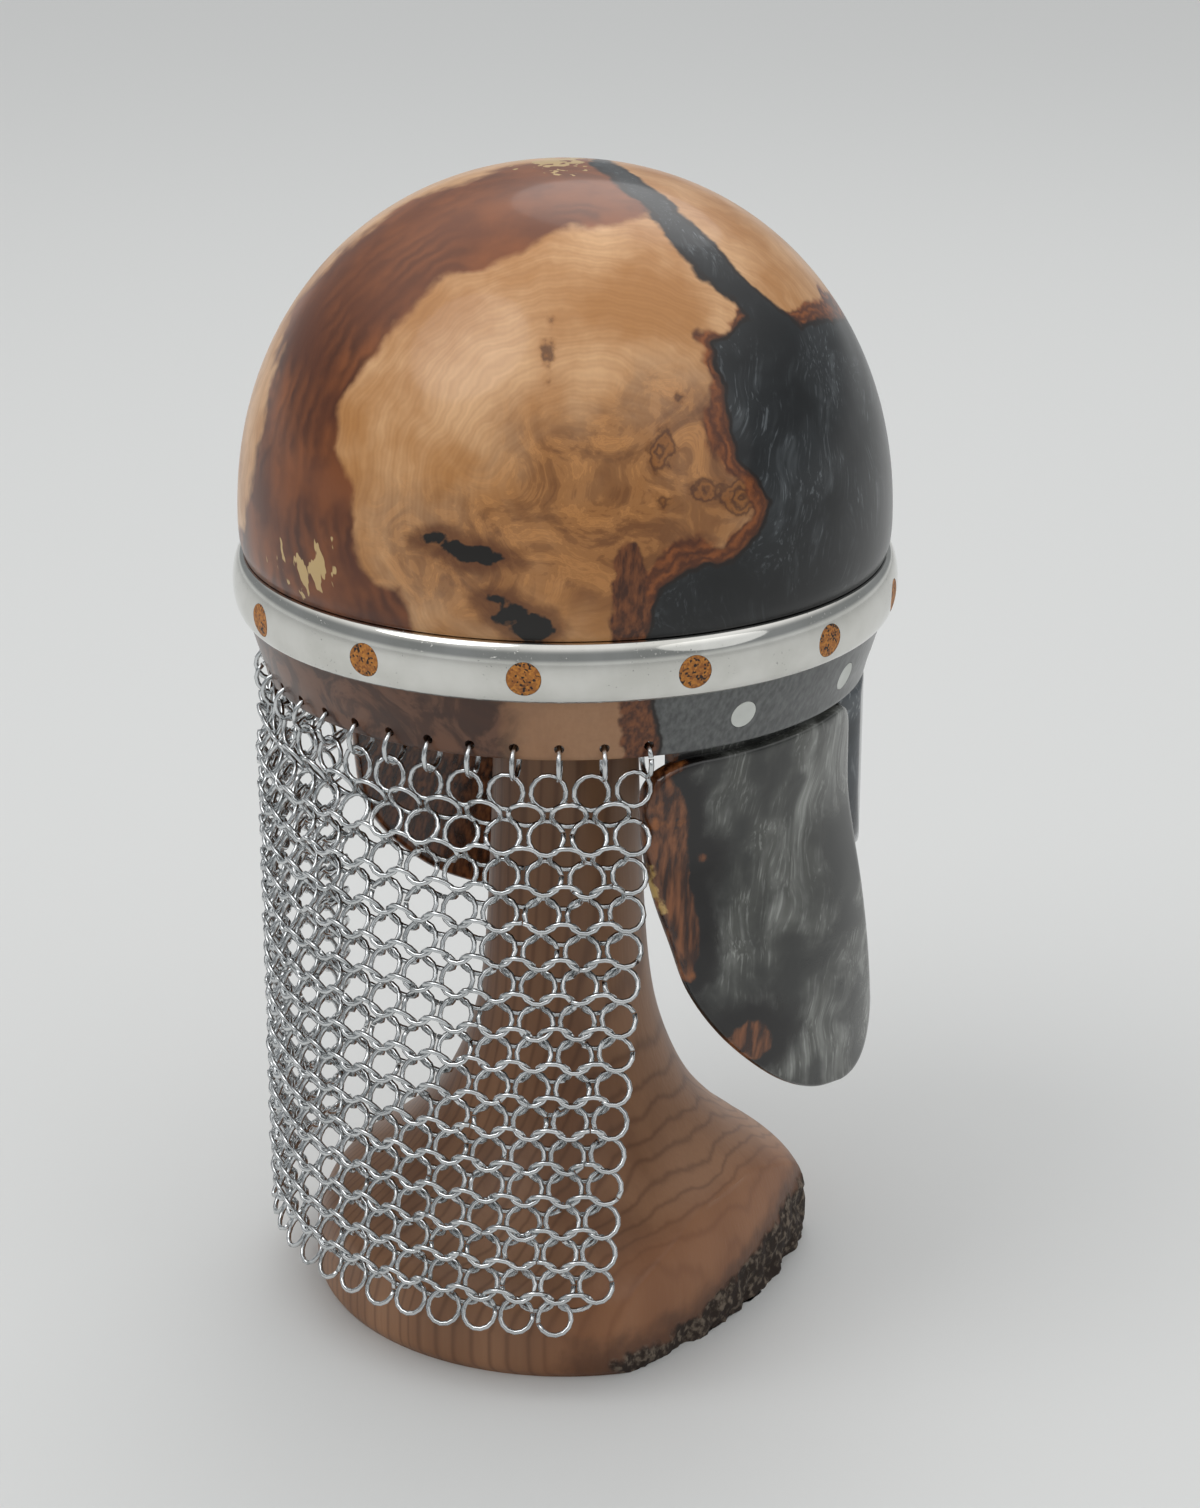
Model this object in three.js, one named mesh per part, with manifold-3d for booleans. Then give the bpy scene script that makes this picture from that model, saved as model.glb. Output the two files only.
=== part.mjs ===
// Gladiator helmet of turned wood and resin, with a metal band and a mail curtain, on a wooden stand.
// Millimetres, +Z up. The origin is the middle of the stand's underside on the floor. The wearer's
// face looks along -Y, so the wearer's right is -X. Angles are in degrees round +Z, counted from the
// face: 0 is -Y, 90 is +X (the wearer's left) and 180 is the back. Heights in the helmet's tables
// are counted from the rim, up positive.

import * as THREE from 'three';
import { mergeVertices } from 'three/addons/utils/BufferGeometryUtils.js';
import Module from 'manifold-3d';

const wasm = await Module();
wasm.setup();

// Fit between neighbouring pieces, and the floor height of the crown's rim.
const GAP = 0.3;
const RIM_Z = 237;
const BACK = 180;

// Radii between which every cut through the helmet's wall runs, and the sides of drilled holes.
const CUT_FROM = 85;
const CUT_TO = 130;
const DRILL_SIDES = 8;
const WIRE_HOLE_SIDES = 6;

// Crown: a turned shell with a flared skirt below the band and a tall round dome above it.
const CROWN_SEGMENTS = 32;
const RIM_RADIUS = 105.4;
const RIM_EASE = 0.7;
const SKIRT_MID_RADIUS = 108.4;
const SKIRT_TOP_RADIUS = 111.6;
const DOME_RADIUS = 113.5;
const DOME_FOOT_RADIUS = 111.8;
const DOME_MID = 54;
const DOME_RISE = 120.5;
const DOME_POWER = 2.1;
const DOME_STEPS = 7;
const HOLLOW_RADIUS = 101;
const HOLLOW_MID = 46;
const APEX_THICKNESS = 12;
const HOLLOW_RISE = DOME_MID + DOME_RISE - APEX_THICKNESS - HOLLOW_MID;

// Band: a half-round metal ring let into a groove of the crown, with round plugs set in it.
const BAND_SEGMENTS = 30;
const BAND_FACE_STEPS = 5;
const BAND_BOTTOM = 22.2;
const BAND_TOP = 42.7;
const BAND_INNER_RADIUS = 108.5;
const BAND_EDGE_RADIUS = 112.2;
const BAND_CREST_RADIUS = 116;
const SEAT_RADIUS = BAND_INNER_RADIUS - 0.95;
const PLUG_COUNT = 13;
const PLUG_RADIUS = 5.6;
const PLUG_HEIGHT = 31.4;
const FIRST_PLUG = 8.7;

// Flush pins that hold the three plates to the skirt.
const PIN_RADIUS = 4.8;
const PIN_HEIGHT = 11;
const CHEEK_PINS = [62.6, 90.6];
const FACE_PINS = [-31, 0, 31];

// Plates: each hangs below the rim and has a thinner tongue that rises inside the skirt.
const PLATE_OUTER_RADIUS = 105.2;
const PLATE_TOP = -2.6;
const TONGUE_OUTER_RADIUS = HOLLOW_RADIUS - 0.8;
const TONGUE_INNER_RADIUS = TONGUE_OUTER_RADIUS - 4;
const TONGUE_TOP = 18.5;
const TONGUE_ROOT = -12;
const PLATE_SEGMENTS = 36;
const PLATE_CUT_FROM = 20;
const CHEEK_ANGLE = 82;
const CHEEK_TONGUE_HALF_WIDTH = 35;
const FACE_TONGUE_HALF_WIDTH = 60;

// Mail curtain: a curved wall, cut through as a coarse net, that hangs from rings in the rim.
const HANGER_COUNT = 19;
const HANGER_PITCH = 7.96;
const LINK_RADIUS = 5.8;
const LINK_WIRE_RADIUS = 0.82;
const LINK_SIDES = 10;
const LINK_WIRE_SIDES = 5;
const HANGER_HOLE_RADIUS = 2.1;
const HANGER_HOLE_HEIGHT = 4.35;
const HANGER_RADIUS = 103.4;
const HANGER_HEIGHT = HANGER_HOLE_HEIGHT - LINK_RADIUS;
const MAIL_RADIUS = 106.3;
const MAIL_THICKNESS = 4;
const MAIL_LIP_RADIUS = 103.4;
const MAIL_LIP_THICKNESS = 1.6;
const MAIL_LIP_HEIGHT = -5;
const MAIL_FULL_HEIGHT = -16;
const MAIL_TOP = -3.6;
const MAIL_BOTTOM = -209;
const MAIL_SEGMENTS = 30;
const MAIL_SIDE = 0.24;
const MAIL_GATHER = 0.03;
const MAIL_DRAW_IN = 0.07;
const MAIL_SWAY = 2.4;
const SLOT_HALF_WIDTH = 2.1;
const SLOT_BOTTOM = -9.8;
const NET_ROWS = 3;
const NET_GAP_SHARE = 0.34;
const NET_GAP_HALF_WIDTH = 5;

// Stand: a turned column that carries the crown, on a wide foot with one natural log edge.
const STAND_SEGMENTS = 32;
const FOOT_RADIUS = 93.3;
const COLUMN_RADIUS = 25.5;
const COLUMN_TOP_RADIUS = 21;
const COLUMN_SHOULDER = 10;
const ROOF_GAP = 1.3;
const LOG_SEGMENTS = 60;
const LOG_RADIUS = 190;
const LOG_EDGE_DISTANCE = 76.5;
const LOG_EDGE_ANGLE = -66;

const FINISHES = {
  burlWood: { color: 0x9a623a, roughness: 0.3, metalness: 0 },
  castMetal: { color: 0xc4c6c8, roughness: 0.28, metalness: 1 },
  cork: { color: 0x5b3a22, roughness: 0.7, metalness: 0 },
  pearlResin: { color: 0x55554f, roughness: 0.18, metalness: 0 },
  brightWire: { color: 0xd4d6d8, roughness: 0.22, metalness: 1 },
  standWood: { color: 0x84583b, roughness: 0.45, metalness: 0 },
};

const radians = THREE.MathUtils.degToRad;

// A closed geometry as a solid that can be joined and cut.
function solidOf(geometry) {
  const bare = geometry.clone();
  bare.deleteAttribute('normal');
  bare.deleteAttribute('uv');
  const welded = mergeVertices(bare, 1e-4);
  const index = welded.index.array;
  const triangles = [];
  for (let i = 0; i < index.length; i += 3) {
    const [a, b, c] = [index[i], index[i + 1], index[i + 2]];
    if (a !== b && b !== c && c !== a) triangles.push(a, b, c);
  }
  return new wasm.Manifold(new wasm.Mesh({
    numProp: 3,
    vertProperties: new Float32Array(welded.attributes.position.array),
    triVerts: new Uint32Array(triangles),
  }));
}

function geometryOf(solid) {
  const mesh = solid.getMesh();
  const geometry = new THREE.BufferGeometry();
  geometry.setAttribute('position', new THREE.BufferAttribute(mesh.vertProperties, 3));
  geometry.setIndex(new THREE.BufferAttribute(mesh.triVerts, 1));
  geometry.computeVertexNormals();
  return geometry;
}

function namedMesh(name, geometry, finish) {
  const mesh = new THREE.Mesh(geometry, new THREE.MeshStandardMaterial(FINISHES[finish]));
  mesh.name = name;
  return mesh;
}

// A body of revolution about +Z. The profile runs up the outside and down the inside.
function turned(profile, segments) {
  const points = profile.map(([radius, z]) => new THREE.Vector2(radius, z));
  return solidOf(new THREE.LatheGeometry(points, segments).rotateX(Math.PI / 2));
}

// The turn that carries +X onto the direction at an angle from the face.
function turnTo(angle) {
  return radians(angle - 90);
}

// A round rod on a radius of the helmet.
function radialRod(angle, z, radius, from, to, sides) {
  const rod = new THREE.CylinderGeometry(radius, radius, to - from, sides);
  rod.rotateZ(-Math.PI / 2);
  rod.translate((from + to) / 2, 0, z);
  rod.rotateZ(turnTo(angle));
  return solidOf(rod);
}

// A flat outline, across and up, pushed outward along the direction at an angle.
function radialPrism(shape, angle, from, to, curveSegments) {
  const prism = new THREE.ExtrudeGeometry(shape, { depth: to - from, bevelEnabled: false, curveSegments });
  prism.translate(0, 0, from);
  prism.rotateX(Math.PI / 2);
  prism.rotateZ(radians(angle));
  return solidOf(prism);
}

// A point on a quarter of a superellipse, at a share of the way from its foot to its top.
function domePoint(share, radius, mid, rise) {
  const turn = share * Math.PI / 2;
  const r = radius * Math.cos(turn) ** (2 / DOME_POWER);
  return [share === 1 ? 0 : r, RIM_Z + mid + rise * Math.sin(turn) ** (2 / DOME_POWER)];
}

function domeCurve(radius, mid, rise, steps) {
  return Array.from({ length: steps + 1 }, (_, i) => domePoint(i / steps, radius, mid, rise));
}

// The crown's outside, filled to the axis. Pins are cut flush with it.
function crownBlank() {
  return turned([
    [0, RIM_Z],
    [RIM_RADIUS - RIM_EASE, RIM_Z],
    [RIM_RADIUS, RIM_Z + RIM_EASE],
    [SKIRT_MID_RADIUS, RIM_Z + BAND_BOTTOM / 2],
    [SKIRT_TOP_RADIUS, RIM_Z + BAND_BOTTOM - GAP],
    [SEAT_RADIUS, RIM_Z + BAND_BOTTOM - GAP],
    [SEAT_RADIUS, RIM_Z + BAND_TOP + GAP],
    [DOME_FOOT_RADIUS, RIM_Z + BAND_TOP + GAP],
    ...domeCurve(DOME_RADIUS, DOME_MID, DOME_RISE, DOME_STEPS),
  ], CROWN_SEGMENTS);
}

function crownHollow() {
  return turned([
    [0, RIM_Z - GAP],
    [HOLLOW_RADIUS, RIM_Z - GAP],
    ...domeCurve(HOLLOW_RADIUS, HOLLOW_MID, HOLLOW_RISE, DOME_STEPS - 1),
  ], CROWN_SEGMENTS);
}

function allPinAngles() {
  return [...CHEEK_PINS, ...CHEEK_PINS.map((angle) => -angle), ...FACE_PINS];
}

function hangerAngles() {
  const middle = (HANGER_COUNT - 1) / 2;
  return Array.from({ length: HANGER_COUNT }, (_, i) => BACK + (i - middle) * HANGER_PITCH);
}

function pinHole(angle) {
  return radialRod(angle, RIM_Z + PIN_HEIGHT, PIN_RADIUS + GAP, CUT_FROM, CUT_TO, DRILL_SIDES);
}

function hangerHole(angle) {
  const z = RIM_Z + HANGER_HOLE_HEIGHT;
  return radialRod(angle, z, HANGER_HOLE_RADIUS, CUT_FROM, CUT_TO, WIRE_HOLE_SIDES);
}

function buildCrown(blank) {
  const holes = [
    ...allPinAngles().map(pinHole),
    ...hangerAngles().map(hangerHole),
  ];
  const shell = holes.reduce((body, hole) => body.subtract(hole), blank.subtract(crownHollow()));
  return namedMesh('crown', geometryOf(shell), 'burlWood');
}

function buildPins(blank) {
  return allPinAngles().map((angle, i) => {
    const rod = radialRod(angle, RIM_Z + PIN_HEIGHT, PIN_RADIUS, TONGUE_INNER_RADIUS, CUT_TO, DRILL_SIDES);
    return namedMesh(`pin_${i + 1}`, geometryOf(rod.intersect(blank)), 'castMetal');
  });
}

// The band's ring before it is drilled: a flat seat inside and a half-round face outside.
function bandRing() {
  const face = Array.from({ length: BAND_FACE_STEPS + 1 }, (_, i) => {
    const turn = i / BAND_FACE_STEPS * Math.PI;
    const bulge = (BAND_CREST_RADIUS - BAND_EDGE_RADIUS) * Math.sin(turn);
    const half = (BAND_TOP - BAND_BOTTOM) / 2;
    return [BAND_EDGE_RADIUS + bulge, RIM_Z + BAND_BOTTOM + half * (1 - Math.cos(turn))];
  });
  const profile = [
    [BAND_INNER_RADIUS, RIM_Z + BAND_BOTTOM],
    ...face,
    [BAND_INNER_RADIUS, RIM_Z + BAND_TOP],
  ];
  return turned([...profile, profile[0]], BAND_SEGMENTS);
}

function plugAngles() {
  return Array.from({ length: PLUG_COUNT }, (_, i) => FIRST_PLUG + i * 360 / PLUG_COUNT);
}

function plugRod(angle, radius) {
  return radialRod(angle, RIM_Z + PLUG_HEIGHT, radius, CUT_FROM, CUT_TO, DRILL_SIDES);
}

function buildBand() {
  const ring = bandRing();
  const drilled = plugAngles().reduce(
    (body, angle) => body.subtract(plugRod(angle, PLUG_RADIUS + GAP)), ring);
  const plugs = plugAngles().map((angle, i) =>
    namedMesh(`plug_${i + 1}`, geometryOf(ring.intersect(plugRod(angle, PLUG_RADIUS))), 'cork'));
  return [namedMesh('band', geometryOf(drilled), 'castMetal'), ...plugs];
}

// The ring that every tongue is cut from.
function tongueRing() {
  const profile = [
    [TONGUE_INNER_RADIUS, RIM_Z + TONGUE_ROOT],
    [TONGUE_OUTER_RADIUS, RIM_Z + TONGUE_ROOT],
    [TONGUE_OUTER_RADIUS, RIM_Z + TONGUE_TOP],
    [TONGUE_INNER_RADIUS, RIM_Z + TONGUE_TOP],
  ];
  return turned([...profile, profile[0]], PLATE_SEGMENTS);
}

// A closed ring of plate material from a table of outer radius, height and thickness, top first.
function plateRing(rows) {
  const outside = rows.map(({ radius, height }) => [radius, RIM_Z + height]).reverse();
  const inside = rows.map(({ radius, height, thick }) => [radius - thick, RIM_Z + height]);
  return turned([...outside, ...inside, outside[0]], PLATE_SEGMENTS);
}

// Each cheek guard hangs straight at first and flares outward toward its rounded foot.
const CHEEK_SECTIONS = [
  { radius: PLATE_OUTER_RADIUS, height: 2, thick: 7 },
  { radius: PLATE_OUTER_RADIUS, height: -14, thick: 7 },
  { radius: 105.4, height: -34, thick: 5.5 },
  { radius: 108, height: -50, thick: 5.5 },
  { radius: 111.8, height: -68, thick: 5.5 },
  { radius: 114.8, height: -88, thick: 5.5 },
  { radius: 116.6, height: -110, thick: 5.5 },
  { radius: 117.2, height: -140, thick: 5.5 },
];

// The rear edge of a cheek guard: distance behind the guard's centre line, and height.
const CHEEK_REAR_EDGE = [
  { behind: 45, height: -45 },
  { behind: 41.2, height: -67 },
  { behind: 36.5, height: -85 },
  { behind: 25, height: -103 },
  { behind: 7, height: -120 },
  { behind: -11, height: -130 },
  { behind: -29, height: -134 },
];

// The guard's outline seen square on; side is -1 on the wearer's right and 1 on the left.
function cheekOutline(side) {
  const at = (behind, height) => [side * behind, RIM_Z + height];
  const shape = new THREE.Shape();
  shape.moveTo(...at(-40, PLATE_TOP));
  shape.lineTo(...at(29, PLATE_TOP - 0.8));
  shape.quadraticCurveTo(...at(46, -4.5), ...at(46.2, -19));
  shape.splineThru(CHEEK_REAR_EDGE.map((row) => new THREE.Vector2(...at(row.behind, row.height))));
  shape.quadraticCurveTo(...at(-50, -135.5), ...at(-52, -113));
  shape.lineTo(...at(-50.4, -70));
  shape.lineTo(...at(-48.5, -11));
  shape.quadraticCurveTo(...at(-48, PLATE_TOP), ...at(-40, PLATE_TOP));
  return shape;
}

function tongueOutline(from, to) {
  const shape = new THREE.Shape();
  shape.moveTo(from, RIM_Z + TONGUE_ROOT - 2);
  shape.lineTo(to, RIM_Z + TONGUE_ROOT - 2);
  shape.lineTo(to, RIM_Z + TONGUE_TOP + 2);
  shape.lineTo(from, RIM_Z + TONGUE_TOP + 2);
  return shape;
}

// A plate with its tongue, drilled for its pins.
function plateSolid(sections, outline, tongue, angle, pins) {
  const body = plateRing(sections).intersect(radialPrism(outline, angle, PLATE_CUT_FROM, CUT_TO, 3));
  const neck = tongueRing().intersect(radialPrism(tongue, angle, PLATE_CUT_FROM, CUT_TO, 1));
  return pins.map(pinHole).reduce((plate, hole) => plate.subtract(hole), body.add(neck));
}

function buildCheekGuard(name, side) {
  const tongue = tongueOutline(-CHEEK_TONGUE_HALF_WIDTH, CHEEK_TONGUE_HALF_WIDTH);
  const pins = CHEEK_PINS.map((angle) => side * angle);
  const solid = plateSolid(CHEEK_SECTIONS, cheekOutline(side), tongue, side * CHEEK_ANGLE, pins);
  return namedMesh(name, geometryOf(solid), 'pearlResin');
}

// The face plate is straight, with two eye openings and a rounded lower edge.
const FACE_SECTIONS = [
  { radius: PLATE_OUTER_RADIUS, height: 2, thick: 7 },
  { radius: PLATE_OUTER_RADIUS, height: -12, thick: 7 },
  { radius: PLATE_OUTER_RADIUS, height: -22, thick: 5 },
  { radius: PLATE_OUTER_RADIUS, height: -95, thick: 5 },
];
const FACE_HALF_WIDTH = 76;
const EYE = { inner: 9, outer: 54, top: -18, bottom: -43 };

function eyeOpening(side) {
  const { inner, outer, top, bottom } = EYE;
  const middle = (top + bottom) / 2;
  const eye = new THREE.Path();
  eye.moveTo(side * inner, RIM_Z + middle - 6);
  eye.quadraticCurveTo(side * inner, RIM_Z + top, side * (inner + 14), RIM_Z + top);
  eye.quadraticCurveTo(side * outer, RIM_Z + top, side * outer, RIM_Z + middle);
  eye.quadraticCurveTo(side * (outer - 4), RIM_Z + bottom, side * (inner + 18), RIM_Z + bottom);
  eye.quadraticCurveTo(side * inner, RIM_Z + bottom, side * inner, RIM_Z + middle - 6);
  return eye;
}

function buildFacePlate() {
  const shape = new THREE.Shape();
  shape.moveTo(-FACE_HALF_WIDTH, RIM_Z + PLATE_TOP);
  shape.lineTo(-FACE_HALF_WIDTH, RIM_Z - 42);
  shape.quadraticCurveTo(-74, RIM_Z - 66, -50, RIM_Z - 75);
  shape.quadraticCurveTo(-22, RIM_Z - 86, 0, RIM_Z - 87);
  shape.quadraticCurveTo(22, RIM_Z - 86, 50, RIM_Z - 75);
  shape.quadraticCurveTo(74, RIM_Z - 66, FACE_HALF_WIDTH, RIM_Z - 42);
  shape.lineTo(FACE_HALF_WIDTH, RIM_Z + PLATE_TOP);
  shape.holes.push(eyeOpening(-1), eyeOpening(1));
  const tongue = tongueOutline(-FACE_TONGUE_HALF_WIDTH, FACE_TONGUE_HALF_WIDTH);
  const solid = plateSolid(FACE_SECTIONS, shape, tongue, 0, FACE_PINS);
  return namedMesh('face_plate', geometryOf(solid), 'pearlResin');
}

// Sections of the mail wall: it leans in at its thin lip to meet the rim's rings.
const MAIL_SECTIONS = [
  { radius: MAIL_LIP_RADIUS, height: MAIL_TOP, thick: MAIL_LIP_THICKNESS },
  { radius: MAIL_LIP_RADIUS, height: MAIL_LIP_HEIGHT, thick: MAIL_LIP_THICKNESS },
  { radius: MAIL_RADIUS, height: MAIL_FULL_HEIGHT, thick: MAIL_THICKNESS },
  { radius: MAIL_RADIUS, height: MAIL_BOTTOM, thick: MAIL_THICKNESS },
];

// The sector behind the head that the mail covers, as a wedge through the whole height.
function mailSector() {
  const half = ((HANGER_COUNT - 1) / 2 + MAIL_SIDE) * HANGER_PITCH;
  const corner = (angle, radius) => new THREE.Vector2(
    radius * Math.sin(radians(angle)), -radius * Math.cos(radians(angle)));
  const shape = new THREE.Shape([
    new THREE.Vector2(0, 0),
    corner(BACK - half, 200),
    corner(BACK, 300),
    corner(BACK + half, 200),
  ]);
  return solidOf(new THREE.ExtrudeGeometry(shape, { depth: RIM_Z, bevelEnabled: false }));
}

function slotShape() {
  return new THREE.Shape([
    new THREE.Vector2(-SLOT_HALF_WIDTH, RIM_Z + MAIL_LIP_HEIGHT),
    new THREE.Vector2(-SLOT_HALF_WIDTH, RIM_Z + SLOT_BOTTOM),
    new THREE.Vector2(SLOT_HALF_WIDTH, RIM_Z + SLOT_BOTTOM),
    new THREE.Vector2(SLOT_HALF_WIDTH, RIM_Z + MAIL_LIP_HEIGHT),
  ]);
}

function gapShape(middle, halfHeight) {
  return new THREE.Shape([
    new THREE.Vector2(0, RIM_Z + middle + halfHeight),
    new THREE.Vector2(-NET_GAP_HALF_WIDTH, RIM_Z + middle),
    new THREE.Vector2(0, RIM_Z + middle - halfHeight),
    new THREE.Vector2(NET_GAP_HALF_WIDTH, RIM_Z + middle),
  ]);
}

// All the openings of the net: a slot for each hanger, and staggered rows of pointed gaps.
function netCuts() {
  const cuts = hangerAngles().map((angle) => radialPrism(slotShape(), angle, CUT_FROM, CUT_TO, 1));
  const pitch = (MAIL_FULL_HEIGHT - MAIL_BOTTOM) / NET_ROWS;
  for (let row = 0; row < NET_ROWS; row += 1) {
    const gap = gapShape(MAIL_FULL_HEIGHT - (row + 0.5) * pitch, pitch * NET_GAP_SHARE);
    const stagger = row % 2 ? 0 : 0.5;
    const angles = hangerAngles().slice(1).map((angle) => angle - stagger * HANGER_PITCH);
    const inRow = row % 2 ? angles.slice(0, -1) : angles;
    inRow.forEach((angle) => cuts.push(radialPrism(gap, angle, CUT_FROM, CUT_TO, 1)));
  }
  return cuts;
}

// Hung mail gathers just below the rim, and draws in and sways a little toward its bottom.
function hang(geometry) {
  const position = geometry.attributes.position;
  const point = new THREE.Vector3();
  for (let i = 0; i < position.count; i += 1) {
    point.fromBufferAttribute(position, i);
    const height = point.z - RIM_Z;
    const drop = (height / MAIL_BOTTOM) ** 2;
    const gather = THREE.MathUtils.smoothstep(-height, -MAIL_LIP_HEIGHT, -MAIL_FULL_HEIGHT);
    const width = 1 - MAIL_GATHER * gather - MAIL_DRAW_IN * drop;
    const fromBack = Math.atan2(-point.x, point.y) * width - radians(MAIL_SWAY) * drop;
    const radius = Math.hypot(point.x, point.y);
    position.setXY(i, -radius * Math.sin(fromBack), radius * Math.cos(fromBack));
  }
  geometry.computeVertexNormals();
  return geometry;
}

function buildMailCurtain() {
  const outside = MAIL_SECTIONS.map(({ radius, height, thick }) => [radius + thick / 2, RIM_Z + height]);
  const inside = MAIL_SECTIONS.map(({ radius, height, thick }) => [radius - thick / 2, RIM_Z + height]);
  const profile = [...outside.reverse(), ...inside];
  const wall = turned([...profile, profile[0]], MAIL_SEGMENTS).intersect(mailSector());
  const net = netCuts().reduce((body, cut) => body.subtract(cut), wall);
  return namedMesh('mail_curtain', hang(geometryOf(net)), 'brightWire');
}

// Each hanger ring stands in a plane through the axis, round the rim's lower edge and the mail's lip.
function buildHangers() {
  return hangerAngles().map((angle, i) => {
    const ring = namedMesh(`hanger_${i + 1}`,
      new THREE.TorusGeometry(LINK_RADIUS, LINK_WIRE_RADIUS, LINK_WIRE_SIDES, LINK_SIDES), 'brightWire');
    ring.position.set(HANGER_RADIUS, 0, RIM_Z + HANGER_HEIGHT);
    ring.rotation.x = Math.PI / 2;
    const arm = new THREE.Group();
    arm.rotation.z = turnTo(angle);
    arm.add(ring);
    return arm;
  });
}

// Rows of the stand's profile from the floor up to where the column enters the helmet.
const STAND_SECTIONS = [
  { radius: 91.5, height: 0 },
  { radius: FOOT_RADIUS, height: 4 },
  { radius: FOOT_RADIUS, height: 16 },
  { radius: 88.5, height: 29 },
  { radius: 75, height: 41 },
  { radius: 60, height: 54 },
  { radius: 46, height: 71 },
  { radius: 36, height: 93 },
  { radius: 30.5, height: 118 },
  { radius: 27.5, height: 161 },
  { radius: COLUMN_RADIUS, height: 217 },
];

// The height of the hollow's roof at a radius.
function hollowRoof(radius) {
  const across = (radius / HOLLOW_RADIUS) ** DOME_POWER;
  return RIM_Z + HOLLOW_MID + HOLLOW_RISE * (1 - across) ** (1 / DOME_POWER);
}

function buildStand() {
  const top = hollowRoof(COLUMN_TOP_RADIUS) - ROOF_GAP;
  const column = turned([
    [0, 0],
    ...STAND_SECTIONS.map(({ radius, height }) => [radius, height]),
    [COLUMN_RADIUS, top - COLUMN_SHOULDER],
    [COLUMN_TOP_RADIUS, top],
    [0, top],
  ], STAND_SEGMENTS);
  const log = new THREE.CylinderGeometry(LOG_RADIUS, LOG_RADIUS, 2 * top, LOG_SEGMENTS);
  log.rotateX(Math.PI / 2);
  log.translate(LOG_EDGE_DISTANCE - LOG_RADIUS, 0, top - 1);
  log.rotateZ(turnTo(LOG_EDGE_ANGLE));
  return namedMesh('stand', geometryOf(column.intersect(solidOf(log))), 'standWood');
}

const helmet = new THREE.Group();
const blank = crownBlank();
helmet.add(buildCrown(blank), ...buildBand(), ...buildPins(blank));
helmet.add(buildCheekGuard('cheek_guard_right', -1), buildCheekGuard('cheek_guard_left', 1));
helmet.add(buildFacePlate(), buildMailCurtain(), ...buildHangers(), buildStand());

export default helmet;
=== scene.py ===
"""Dresses the gladiator helmet and its wooden stand, and sets up the studio round them."""

import logging
import math
import random
from collections.abc import Callable, Sequence
from dataclasses import dataclass, field
from enum import Enum
from functools import partial
from typing import ClassVar

import bmesh
import bpy
import numpy as np
from mathutils import Matrix, Vector, noise


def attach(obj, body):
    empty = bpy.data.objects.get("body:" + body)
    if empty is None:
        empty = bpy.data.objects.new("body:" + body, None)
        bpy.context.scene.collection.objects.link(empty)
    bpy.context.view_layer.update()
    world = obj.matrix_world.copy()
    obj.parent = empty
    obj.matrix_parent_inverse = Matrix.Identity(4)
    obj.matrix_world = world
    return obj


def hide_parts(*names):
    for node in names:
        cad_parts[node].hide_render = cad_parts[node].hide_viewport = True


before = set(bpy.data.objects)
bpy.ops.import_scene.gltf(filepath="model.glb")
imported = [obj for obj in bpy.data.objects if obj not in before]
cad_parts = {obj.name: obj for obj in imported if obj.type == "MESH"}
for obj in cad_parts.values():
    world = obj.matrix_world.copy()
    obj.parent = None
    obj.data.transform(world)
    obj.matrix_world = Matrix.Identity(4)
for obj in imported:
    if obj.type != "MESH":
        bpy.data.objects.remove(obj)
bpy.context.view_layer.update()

LOG = logging.getLogger("helmet")

MM = 0.001
RIM_Z = 237.0
MERGE = 1e-6
SHARP_ANGLE = math.radians(38)
BODY = "root"
# The figure of the wood and the resin was drawn square on from this angle round the axis.
FIGURE_TURN = math.radians(-123.1)
FIGURE_TILT = math.radians(20.4)

Pair = tuple[float, float]
Colour = tuple[float, float, float, float]
Socket = bpy.types.NodeSocket
Node = bpy.types.Node
Tree = bpy.types.NodeTree
Piece = bpy.types.Object
Form = bmesh.types.BMesh


class Slot(Enum):
    """The record's material slots."""

    CROWN = "burl_wood_and_resin"
    BAND = "cast_metal"
    PINS = "pin_metal"
    PLUGS = "cork_plug"
    PLATES = "pearl_resin"
    MAIL = "mail_wire"
    STAND = "stand_wood"


class Side(Enum):
    """The wearer's side that a cheek guard hangs on."""

    RIGHT = -1
    LEFT = 1


def linear(code: str) -> Colour:
    """Turns an sRGB hex colour into linear light.

    Args:
        code: The colour as #rrggbb.

    Returns:
        Linear red, green and blue with full alpha.
    """
    parts = [int(code[i : i + 2], 16) / 255 for i in (1, 3, 5)]
    lit = [c / 12.92 if c <= 0.04045 else ((c + 0.055) / 1.055) ** 2.4 for c in parts]
    return (lit[0], lit[1], lit[2], 1.0)


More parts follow.
